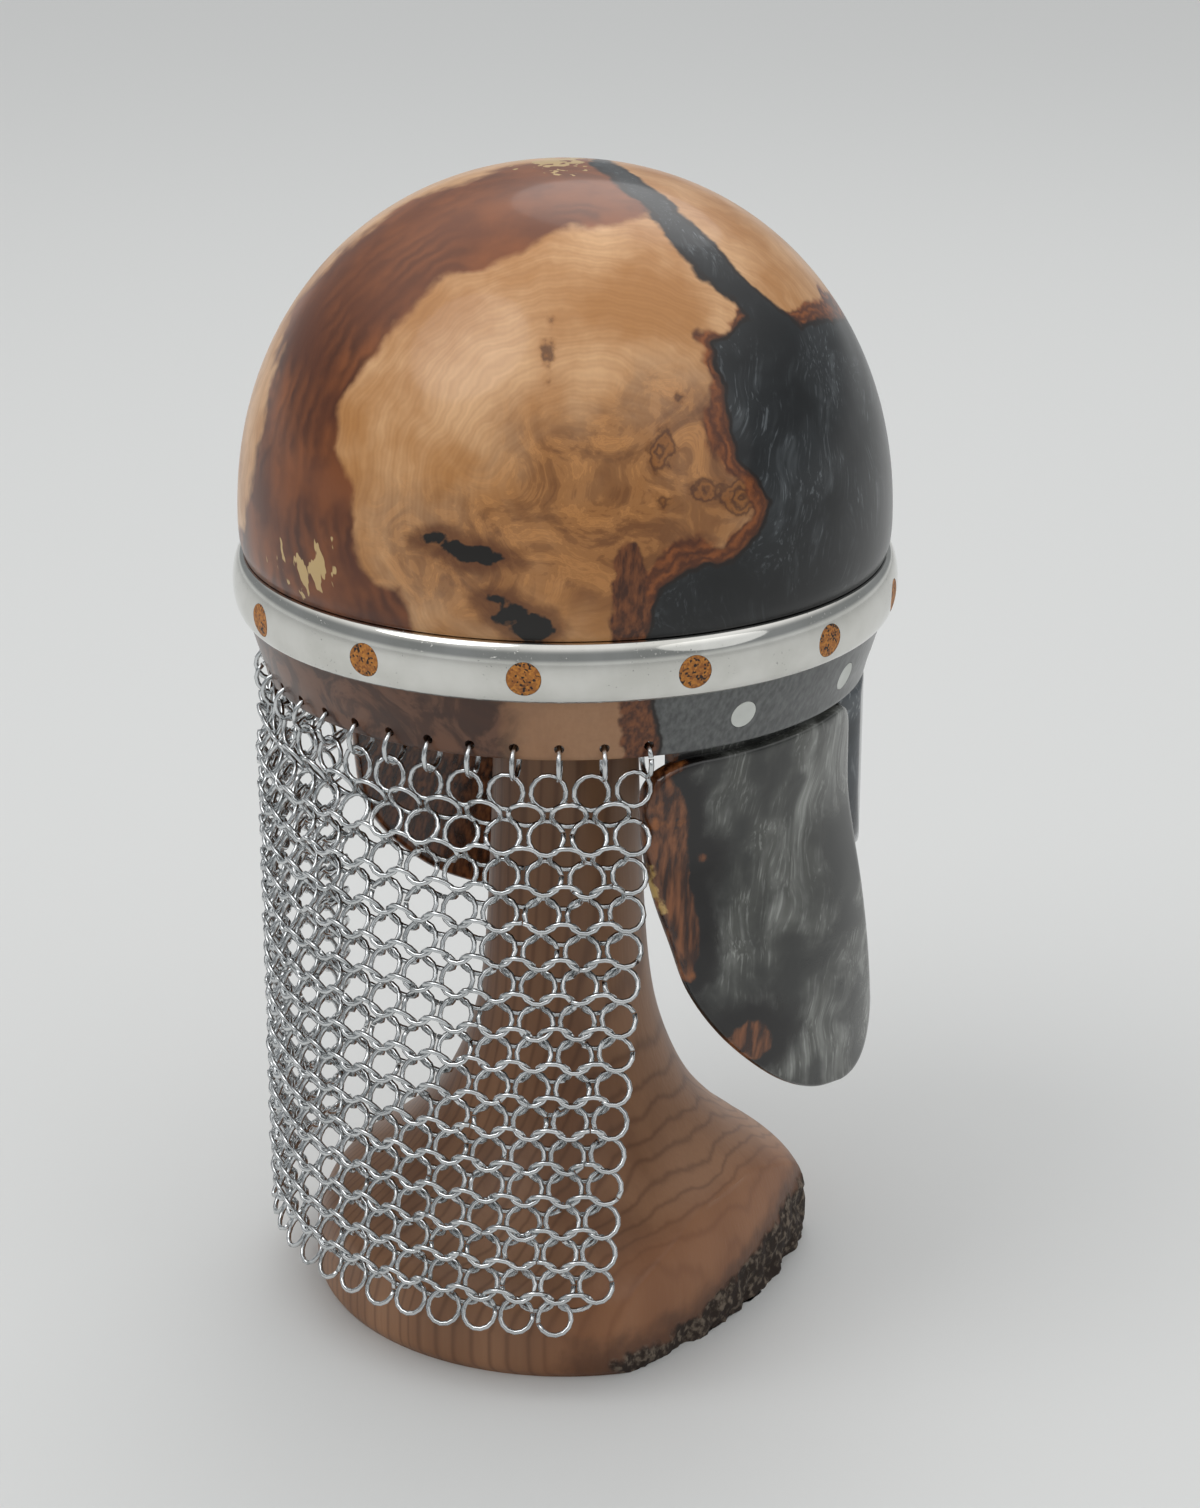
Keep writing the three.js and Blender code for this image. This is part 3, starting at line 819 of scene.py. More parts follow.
@dataclass(frozen=True)
class LiveEdgeWood(Finish):
    """Oiled hardwood with growth rings round the log's middle, and rough dark bark on its raw edge."""

    log_middle: tuple[float, float, float] = (0.0, 0.0, 0.0)
    ring_pitch: float = 4.8
    ring_stretch: tuple[float, ...] = (1.0, 1.0, 0.06)
    ring_sharpness: float = 5.0
    # Size and reach in mm, and detail, of the patterns that bend the rings and break the bark.
    broad_bend: tuple[float, ...] = (44.0, 7.0, 2.0)
    fine_bend: tuple[float, ...] = (5.0, 0.6, 4.0)
    crust_bend: tuple[float, ...] = (9.0, 4.0, 5.0)
    grain_stretch: tuple[float, ...] = (1.0, 1.0, 0.07)
    fibre_width: float = 1.3
    patch_size: float = 40.0
    flake_size: float = 3.0
    bark_relief: float = 6.0
    relief: float = 0.4

    def paint(self, tree: Tree, shader: Node) -> None:
        """Sets the shader and links the pattern to it.

        Args:
            tree: The material's node tree.
            shader: Its surface shader.
        """
        put = partial(add, tree)
        spot = put(Kind.FIT, put(Kind.PLACE), (1 / MM,) * 3)
        upright = put(Kind.FIT, spot, self.grain_stretch)
        broad, fine = (self.wobble(tree, upright, *bend) for bend in (self.broad_bend, self.fine_bend))
        reach = put(Kind.GAP, put(Kind.SCALED, spot, self.ring_stretch), self.log_middle)
        rings = self.stripes(tree, put(Kind.SUM, put(Kind.SUM, reach, broad), fine), self.ring_pitch)
        fibre = put(Kind.NOISE, upright, 1 / self.fibre_width, 4)
        patch = put(Kind.NOISE, upright, 1 / self.patch_size, 4)
        wood = self.layers(tree, "#a97c5a", (patch, 0.35, 0.65, 1.0, "#82593c"))
        late_wood = put(Kind.TIMES, put(Kind.POWER, rings, self.ring_sharpness), 0.42)
        wood = put(Kind.MIX, late_wood, wood, "#4d2c1a")
        wood = put(Kind.MIX, put(Kind.TIMES, fibre, 0.25), wood, "#6a452e")
        # The wood is more orange near the raw edge, and dark brown just above the bark.
        near = put(Kind.TIMES_PLUS, broad, 0.6, put(Kind.FIELD, attribute_name="raw"))
        bark_depth = put(Kind.FIELD, attribute_name="bark")
        crust = put(Kind.SUM, bark_depth, self.wobble(tree, spot, *self.crust_bend))
        flake = put(Kind.NOISE, spot, 1 / self.flake_size, 6)
        bark = self.layers(tree, "#2b1f17", (flake, 0.46, 0.68, 1.0, "#75685a"))
        on_bark = put(Kind.RISE, crust, -1.6, 1.6)
        wood = self.layers(tree, wood, (near, -18, -4, 0.55, "#8f5a34"), (crust, -11, -1, 0.75, "#4a2c1a"))
        rough = put(Kind.TIMES_PLUS, put(Kind.TIMES, flake, on_bark), self.bark_relief, fibre)
        fill(shader, {
            "Base Color": put(Kind.MIX, on_bark, wood, bark),
            "Roughness": put(Kind.RANGE, on_bark, 0.0, 1.0, 0.42, 0.85),
            "Normal": put(Kind.BUMP, rough, 0.3, self.relief * MM),
        })


@dataclass(frozen=True)
class PaintedBoard(Finish):
    """Pale matt board, for the studio floor."""

    tone: str = "#d7d8d7"

    def paint(self, tree: Tree, shader: Node) -> None:
        """Sets the shader and links the pattern to it.

        Args:
            tree: The material's node tree.
            shader: Its surface shader.
        """
        fill(shader, {"Base Color": self.tone, "Roughness": 0.6})


def dress(piece: Piece, finish: Finish, slot: Slot, nodes: Sequence[str]) -> None:
    """Gives a piece its material and ties it to the frame.

    Args:
        piece: The finished piece.
        finish: What it is made of.
        slot: The record's slot for it; not used.
        nodes: The CAD nodes that it stands for.
    """
    piece.data.materials.clear()
    piece.data.materials.append(finish.material())
    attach(piece, BODY)
    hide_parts(*nodes)
    LOG.info("%s: %d faces", piece.name, len(piece.data.polygons))


@dataclass
class Crown:
    """The turned shell: a flared skirt, a groove for the band and a tall round dome."""

    hollow_radius: float = 101.0
    hollow_mid: float = 46.0
    hollow_rise: float = 116.5
    rim_radius: float = 105.4
    dome_radius: float = 113.5
    dome_mid: float = 54.0
    dome_rise: float = 120.5
    dome_power: float = 2.1
    seat_radius: float = 107.55
    groove: Pair = (21.9, 43.0)
    steps: int = 300
    pin_radius: float = 4.8
    pin_height: float = 11.0
    pin_angles: tuple[float, ...] = (62.6, 90.6, -62.6, -90.6, -31.0, 0.0, 31.0)
    hole_radius: float = 1.7
    hole_height: float = 4.35
    skirt: tuple[Pair, ...] = ((105.4, 0.7), (106.6, 5.5), (108.4, 11.1), (110.1, 16.8), (111.6, 21.9))
    # The shell's radius and height just above the groove.
    foot: tuple[Pair, ...] = ((111.8, 0.0), (113.0, 4.0), (113.4, 8.0))
    rim_ease: float = 0.7
    inner_rows: int = 24
    outer_rows: int = 76
    drill_reach: Pair = (95.0, 125.0)
    pin_play: float = 0.15
    pin_depth: float = 10.5
    pin_sides: int = 32
    hole_sides: int = 16

    # Outlines of the figure, across and above the rim in mm, seen along the figure's direction.
    resin_edge: tuple[Pair, ...] = (
        (140, 110), (95, 112), (77, 104), (58, 106), (46, 97), (48, 88), (54, 72), (56, 61), (66, 47),
        (64, 37), (56, 28), (40, 21), (32, 17), (27, 3), (28, -17), (30, -30), (31, -50), (140, -60),
    )
    crack: tuple[Pair, ...] = (
        (13, 165), (19, 159), (25, 152), (34, 141), (44, 129), (53, 119), (65, 108), (73, 102))
    crack_top: float = 163.0
    crack_reach: float = 70.0
    crack_half_widths: Pair = (2.2, 0.04)
    heart_edge: tuple[Pair, ...] = (
        (33, 143), (24, 141), (11, 137), (-2, 133), (-14, 128), (-30, 120), (-43, 115), (-59, 98),
        (-71, 80), (-74, 64), (-69, 47), (-64, 25), (-60, 20), (-53, 19), (-48, 5), (-36, -10), (-21, -18),
        (-19, -50), (-140, -60), (-140, 42), (-109, 43), (-105, 61), (-101, 77), (-97, 101), (-89, 119),
        (-76, 135), (-50, 152), (-20, 163), (8, 168), (22, 156),
    )
    strip_edge: tuple[Pair, ...] = (
        (18, 32), (15, 27), (15, 14), (14, 2), (17, -20), (19, -45), (31, -45), (28, -10), (27, 3),
        (25, 27), (22, 32))
    burl_blots: tuple[tuple, ...] = (
        (38, 55, 26, 30), (10, 42, 36, 30), (-25, 30, 34, 20), (-60, -20, 60, 16))
    eye_blots: tuple[tuple, ...] = (
        (30, 61, 4.5, 7), (43, 49, 4, 3.5), (56, 47, 7, 6), (36, 78, 2, 2), (30, 46, 3.5, 1.6),
        (-5, 93, 1, 5))
    cream_blots: tuple[tuple, ...] = ((-84, 26, 15, 9), (-3, 165, 16, 8))
    black_blots: tuple[tuple, ...] = (
        (-41, 34, 4, 1.8), (-36, 31.5, 5, 2.4), (-30, 29, 6, 2.8), (-24, 27, 4, 1.8), (-22, 14, 4, 2.2),
        (-17, 10, 6, 3.4), (-11, 6, 7, 4.6))

    def dome(self, radius: float, mid: float, rise: float, count: int) -> list[Pair]:
        """Gives points on a quarter of a superellipse from its foot to its top.

        Args:
            radius: Its radius at the foot.
            mid: The height of its foot above the rim.
            rise: Its height.
            count: Steps along it.

        Returns:
            Radius and height above the floor of each point.
        """
        shares = [math.pi / 2 * i / count for i in range(count + 1)]
        power = 2 / self.dome_power
        curve = [
            (radius * max(math.cos(t), 0) ** power, RIM_Z + mid + rise * math.sin(t) ** power)
            for t in shares
        ]
        return [*curve[:-1], (0.0, RIM_Z + mid + rise)]

    def skirt_radius(self, height: float) -> float:
        """Gives the skirt's radius at a height above the rim."""
        return float(np.interp(height, [z for _, z in self.skirt], [r for r, _ in self.skirt]))

    def build(self, hanger_angles: Sequence[float]) -> Piece:
        """Turns the shell, drills it and marks the figure of its wood and resin.

        Args:
            hanger_angles: Where the rim is drilled for the mail's rings.

        Returns:
            The shell.
        """
        low, high = self.groove
        foot = [(r, high + z) for r, z in self.foot]
        outer = [
            (self.rim_radius - self.rim_ease, 0.0), *smooth_curve(self.skirt, 4), (self.seat_radius, low),
            (self.seat_radius, high), *smooth_curve(foot, 3),
        ]
        inner = self.dome(self.hollow_radius, self.hollow_mid, self.hollow_rise, self.inner_rows)[::-1]
        profile = [*inner, (self.hollow_radius, RIM_Z), *((r, RIM_Z + z) for r, z in outer)]
        profile += self.dome(self.dome_radius, self.dome_mid, self.dome_rise, self.outer_rows)
        shell = as_object("crown_shell", turned(profile, self.steps))
        drills = (
            (self.pin_angles, self.pin_height, self.pin_radius + self.pin_play, self.pin_sides),
            (hanger_angles, self.hole_height, self.hole_radius, self.hole_sides),
        )
        for angles, height, radius, sides in drills:
            carve(shell, rods([(a, height) for a in angles], radius, self.drill_reach, sides))
        spots = points_of(shell)
        across = np.array([math.cos(FIGURE_TURN), math.sin(FIGURE_TURN)])
        away = np.array([-math.sin(FIGURE_TURN), math.cos(FIGURE_TURN)])
        rise = spots[:, 2] * math.cos(FIGURE_TILT) + spots[:, :2] @ away * math.sin(FIGURE_TILT)
        seen = np.stack([spots[:, :2] @ across, rise], axis=1)
        least, widening = self.crack_half_widths
        wide = least + widening * np.clip(self.crack_top - rise, 0, self.crack_reach)
        crack = wide - path_distance(seen, self.crack)
        void = region_depth(seen, self.resin_edge)
        store(
            shell, resin=np.maximum(void, crack), void=void,
            heart=region_depth(seen, self.heart_edge), burl=blot_depth(seen, self.burl_blots),
            eyes=blot_depth(seen, self.eye_blots), cream=blot_depth(seen, self.cream_blots),
            black=blot_depth(seen, self.black_blots), strip=region_depth(seen, self.strip_edge),
            height=spots[:, 2],
        )
        dress(shell, BurlAndResin("burl wood and pearl resin, lacquered"), Slot.CROWN, ["crown"])
        return shell

    def pins(self) -> Piece:
        """Makes the flush pins that hold the plates.

        Returns:
            The pins.
        """
        bm = bmesh.new()
        for angle in self.pin_angles:
            inlay(bm, angle, self.pin_height, self.pin_radius, self.skirt_radius, self.pin_depth)
        made = as_object("plate_pins", cleaned(bm))
        nodes = [f"pin_{i + 1}" for i in range(len(self.pin_angles))]
        finish = CastAluminium("satin aluminium pin", "#d6d8d4", "#cbcdc8", 0.48, 0.9, 0.02)
        dress(made, finish, Slot.PINS, nodes)
        return made


@dataclass
class Band:
    """The half-round metal ring in the crown's groove, with round plugs set in it."""

    bottom: float = 22.2
    top: float = 42.7
    inner_radius: float = 108.5
    edge_radius: float = 112.2
    crest_radius: float = 116.0
    steps: int = 288
    plug_count: int = 13
    plug_radius: float = 5.6
    plug_height: float = 31.4
    first_plug: float = 8.7
    face_rows: int = 22
    drill_reach: Pair = (104.0, 122.0)
    plug_play: float = 0.12
    plug_depth: float = 3.4
    plug_sides: int = 40

    def surface(self, height: float) -> float:
        """Gives the face's radius at a height above the rim.

        Args:
            height: The height.

        Returns:
            The radius.
        """
        half = (self.top - self.bottom) / 2
        off = min(abs(height - self.bottom - half) / half, 1)
        return self.edge_radius + (self.crest_radius - self.edge_radius) * math.sqrt(1 - off**2)

    def build(self) -> Piece:
        """Turns the ring and bores it for the plugs.

        Returns:
            The ring.
        """
        half = (self.top - self.bottom) / 2
        turns = [math.pi * i / self.face_rows for i in range(self.face_rows + 1)]
        heights = [self.bottom + half * (1 - math.cos(t)) for t in turns]
        face = [(self.surface(z), RIM_Z + z) for z in heights]
        back = [(self.inner_radius, RIM_Z + z) for z in (self.bottom, self.top)]
        profile = [back[0], *face, back[1]]
        ring = as_object("band_ring", turned(profile, self.steps, closed=True))
        places = [(a, self.plug_height) for a in self.plug_angles()]
        carve(ring, rods(places, self.plug_radius + self.plug_play, self.drill_reach, self.plug_sides))
        dress(ring, CastAluminium("polished cast aluminium"), Slot.BAND, ["band"])
        return ring

    def plug_angles(self) -> list[float]:
        """Gives the plugs' angles round the band."""
        return [self.first_plug + 360 / self.plug_count * i for i in range(self.plug_count)]

    def plugs(self) -> Piece:
        """Makes the plugs, their faces flush with the band's.

        Returns:
            The plugs.
        """
        bm = bmesh.new()
        for angle in self.plug_angles():
            inlay(bm, angle, self.plug_height, self.plug_radius, self.surface, self.plug_depth)
        made = as_object("band_plugs", cleaned(bm))
        nodes = [f"plug_{i + 1}" for i in range(self.plug_count)]
        dress(made, GranularCork("agglomerated cork"), Slot.PLUGS, nodes)
        return made


@dataclass
class Plate:
    """A curved plate below the rim, with a tongue that rises inside the skirt."""

    name: str
    angle: float
    outline: list[Pair]
    sections: tuple[tuple, ...]
    spine: tuple[Pair, Pair]
    tongue_half_width: float
    columns: int = 300
    spine_steps: int = 24
    edge_round: float = 1.7
    tongue_radii: Pair = (96.2, 100.2)
    tongue_heights: Pair = (-12.0, 18.5)
    tongue_cuts: int = 15
    face_rows: int = 24
    edge_rows: int = 8

    def section(self, height: float) -> Pair:
        """Gives the plate's outer radius and its thickness at a height above the rim."""
        heights = [row[1] for row in self.sections][::-1]
        return tuple(
            float(np.interp(height, heights, [row[k] for row in self.sections][::-1])) for k in (0, 2)
        )

    def place(self, across: float, height: float, sunk: float) -> Vector:
        """Gives a point of the plate.

        Args:
            across: Distance from the plate's middle line.
            height: Height above the rim.
            sunk: Depth below the outer face.

        Returns:
            The point in metres.
        """
        return self.bent(across, self.section(height)[0] - sunk, height)

    def bent(self, across: float, radius: float, height: float) -> Vector:
        """Gives the point at a distance from the middle line, a radius and a height above the rim."""
        spot = Vector((across, -math.sqrt(radius**2 - across**2), RIM_Z + height))
        return Matrix.Rotation(math.radians(self.angle), 3, "Z") @ spot * MM

    def shell(self) -> Form:
        """Lofts the plate from its spine over its rounded edge to the spine inside.

        Returns:
            The closed plate.
        """
        bm = bmesh.new()
        loop = spaced(self.outline, self.columns)
        foot, head = (np.array(p, float) for p in self.spine)
        share = np.clip((loop - foot) @ (head - foot) / ((head - foot) @ (head - foot)), 0, 1)
        share = np.round(share * self.spine_steps) / self.spine_steps
        middle = foot + share[:, None] * (head - foot)
        face_rows, edge_rows = self.face_rows, self.edge_rows
        rows = 2 * face_rows + edge_rows

        def spot(u: float, v: float) -> Vector:
            """Gives a point of the plate.

            Args:
                u: Share of the way round the outline.
                v: Share of the way from the outer spine over the edge to the inner one.

            Returns:
                The point in metres.
            """
            i = round(u * self.columns) % self.columns
            row = round(v * rows)
            gap = middle[i] - loop[i]
            length = float(np.hypot(*gap))
            turn = math.pi * np.clip((row - face_rows) / edge_rows, 0, 1)
            into = self.edge_round * (1 - math.sin(turn))
            far = max(face_rows - row, row - face_rows - edge_rows, 0) / face_rows
            at = loop[i] + gap / length * (into + (length - into) * far)
            thick = self.section(at[1])[1]
            return self.place(at[0], at[1], thick / 2 * (1 - math.cos(turn)))

        mapped(bm, self.columns, rows, spot)
        return cleaned(bm)

    def tongue(self) -> Form:
        """Bends a slab to the inside of the skirt.

        Returns:
            The slab.
        """
        bm = bmesh.new()
        bmesh.ops.create_cube(bm, size=1)
        bmesh.ops.subdivide_edges(bm, edges=bm.edges, cuts=self.tongue_cuts, use_grid_fill=True)
        (low, high), (inner, outer) = self.tongue_heights, self.tongue_radii
        for vert in bm.verts:
            side = vert.co.x * 2 * self.tongue_half_width
            radius = inner + (vert.co.y + 0.5) * (outer - inner)
            height = low + (vert.co.z + 0.5) * (high - low)
            vert.co = self.bent(side, radius, height)
        return cleaned(bm)

    def build(self, cuts: Sequence[Form] = ()) -> Piece:
        """Makes the plate with its tongue.

        Args:
            cuts: Closed meshes that are cut out of it.

        Returns:
            The plate.
        """
        made = as_object(self.name + "_plate", self.shell())
        for cut in cuts:
            carve(made, cut)
        bm = bmesh.new()
        bm.from_mesh(made.data)
        slab = bpy.data.meshes.new("slab")
        root = self.tongue()
        root.to_mesh(slab)
        root.free()
        bm.from_mesh(slab)
        bm.to_mesh(made.data)
        bm.free()
        bpy.data.meshes.remove(slab)
        made.data.shade_smooth()
        made.data.set_sharp_from_angle(angle=SHARP_ANGLE)
        return made

    def seen(self, piece: Piece) -> np.ndarray:
        """Gives each point's distance across the plate and its height above the rim.

        Args:
            piece: The finished plate.

        Returns:
            Both numbers in a row for each point.
        """
        spots = points_of(piece)
        turn = math.radians(self.angle)
        return np.stack([spots[:, :2] @ (math.cos(turn), math.sin(turn)), spots[:, 2]], axis=1)


@dataclass
class CheekGuard:
    """A guard that hangs straight at first and flares outward toward its rounded foot."""

    side: Side
    angle: float = 82.0
    sections: tuple[tuple, ...] = (
        (105.2, 2, 7), (105.2, -14, 7), (105.4, -34, 5.5), (108, -50, 5.5), (111.8, -68, 5.5),
        (114.8, -88, 5.5), (116.6, -110, 5.5), (117.2, -140, 5.5),
    )
    section_steps: int = 6
    spine: tuple[Pair, Pair] = ((0.0, -36.0), (-14.0, -104.0))
    tongue_half_width: float = 35.0
    rear_edge: tuple[Pair, ...] = (
        (46.2, -19), (45, -45), (41.2, -67), (36.5, -85), (25, -103), (7, -120), (-11, -130), (-29, -134))
    # How far the strip of wood reaches in from the rear edge, at heights above the rim.
    strip: tuple[Pair, ...] = (
        (-2, -5), (-7, 3), (-13, 9), (-24, 12), (-42, 11), (-58, 9), (-70, 6), (-78, 1), (-84, -7),
        (-140, -16))
    knots: tuple[tuple, ...] = ((19, -104, 9, 6), (29, -38, 1.6, 1.6))
    slivers: tuple[tuple, ...] = ((46, -52, 2.4, 12),)
    threads: ClassVar[tuple[tuple, ...]] = ((7.0, 46.0, 0.4, 0.7, 0.6), (1.2, 24.0, 0.5, 0.72, 0.7))
    extra_wood: ClassVar[dict[Side, float]] = {Side.RIGHT: 0.0, Side.LEFT: 60.0}

    def outline(self) -> list[Pair]:
        """Gives the guard's outline, behind its middle line and above the rim.

        Returns:
            The outline's points.
        """
        top = -2.6
        rear = [*corner((29, -3.4), (46, -4.5), (46.2, -19)), *smooth_curve(self.rear_edge, 8)[1:]]
        foot = corner((-29, -134), (-50, -135.5), (-52, -113))
        front = [(-50.4, -70), (-48.5, -11)]
        last = corner((-48.5, -11), (-48, top), (-40, top))
        return [(-40, top), *rear, *foot[1:], *front, *last[1:-1]]

    def build(self) -> Piece:
        """Makes the guard and marks its strip of wood.

        Returns:
            The guard.
        """
        way = self.side.value
        name = f"cheek_guard_{self.side.name.lower()}"
        faces = smooth_curve([(r, z) for r, z, _ in self.sections], self.section_steps)
        rows = np.linspace(0, len(self.sections) - 1, len(faces))
        thick = np.interp(rows, range(len(self.sections)), [t for _, _, t in self.sections])
        plate = Plate(
            name, way * self.angle, [(way * x, z) for x, z in self.outline()],
            tuple((r, z, t) for (r, z), t in zip(faces, thick)),
            tuple((way * x, z) for x, z in self.spine), self.tongue_half_width)
        made = plate.build()
        seen = plate.seen(made) * (way, 1)
        edge = [(29, -3.4), (44, -8), *self.rear_edge]
        edge_at = np.interp(seen[:, 1], [z for _, z in edge][::-1], [x for x, _ in edge][::-1])
        strip_heights, widths = zip(*self.strip[::-1])
        reach = np.interp(seen[:, 1], strip_heights, widths)
        strip = reach + self.extra_wood[self.side] - (edge_at - seen[:, 0])
        wood = np.maximum(strip, blot_depth(seen, self.knots))
        store(made, wood=wood, sliver=blot_depth(seen, self.slivers))
        finish = EdgedResin(
            "pearl resin with a bark edge, polished", "#2c2d2b", "#575853", "#b9bbb6", 0.6, self.threads)
        dress(made, finish, Slot.PLATES, [name])
        return made


@dataclass
class FacePlate:
    """The straight plate in front, with two eye openings and a rounded lower edge."""

    half_width: float = 76.0
    sections: tuple[tuple, ...] = ((105.2, 2, 7), (105.2, -12, 7), (105.2, -22, 5), (105.2, -95, 5))
    eye_inner: float = 9.0
    eye_outer: float = 54.0
    eye_top: float = -18.0
    eye_bottom: float = -43.0
    eye_sides: int = 72
    # The cutter's radii from the axis, and how much it grows at each.
    eye_reach: tuple[Pair, ...] = (
        (97.0, 6.0), (100.1, 1.4), (100.9, 0.5), (102.6, 0.0), (104.2, 0.5), (105.1, 1.4), (109.0, 6.0))
    spine: tuple[Pair, Pair] = ((-44.0, -38.0), (44.0, -38.0))
    tongue_half_width: float = 60.0

    def outline(self) -> list[Pair]:
        """Gives the plate's outline, across and above the rim.

        Returns:
            The outline's points.
        """
        wide = self.half_width
        half = [
            *corner((-wide, -42), (-74, -66), (-50, -75)), *corner((-50, -75), (-22, -86), (0, -87))[1:]]
        down = [*corner((-wide + 5, -2.6), (-wide, -2.6), (-wide, -8)), *half]
        return [*down, *((-x, z) for x, z in down[::-1][1:])]

    def eye(self, side: Side) -> Form:
        """Makes the cutter of one eye opening, wider at both faces so that the edges are eased.

        Args:
            side: The side of the opening.

        Returns:
            The closed cutter.
        """
        way = side.value
        inner, outer, top, bottom = self.eye_inner, self.eye_outer, self.eye_top, self.eye_bottom
        middle = (top + bottom) / 2
        loop = [
            *corner((inner, middle - 6), (inner, top), (inner + 14, top)),
            *corner((inner + 14, top), (outer, top), (outer, middle))[1:],
            *corner((outer, middle), (outer - 4, bottom), (inner + 18, bottom))[1:],
            *corner((inner + 18, bottom), (inner, bottom), (inner, middle - 6))[1:-1],
        ]
        points = spaced(loop, self.eye_sides)
        centre = points.mean(axis=0)
        reach = self.eye_reach
        bm = bmesh.new()

        def spot(u: float, v: float) -> Vector:
            """Gives a point of the cutter.

            Args:
                u: Share of the way round the opening.
                v: Share of the way from its inner cap to its outer one.

            Returns:
                The point in metres.
            """
            row = round(v * (len(reach) + 1))
            at = points[round(u * self.eye_sides) % self.eye_sides] - centre
            radius, grow = reach[min(max(row - 1, 0), len(reach) - 1)]
            closed = 0 if row in (0, len(reach) + 1) else 1
            flat = centre + at * closed * (1 + grow / max(np.hypot(*at), 1e-9))
            x = way * flat[0]
            return Vector((x, -math.sqrt(radius**2 - x**2), RIM_Z + flat[1])) * MM

        mapped(bm, self.eye_sides, len(reach) + 1, spot)
        return cleaned(bm)

    def build(self) -> Piece:
        """Makes the plate and cuts the eye openings.

        Returns:
            The plate.
        """
        plate = Plate(
            "face_eye", 0.0, self.outline(), self.sections, self.spine, self.tongue_half_width)
        made = plate.build([self.eye(side) for side in Side])
        finish = PearlResin("pearl resin, polished", "#3d4043", "#5f6468", "#c6cbce", 0.6)
        dress(made, finish, Slot.PLATES, ["face_plate"])
        return made


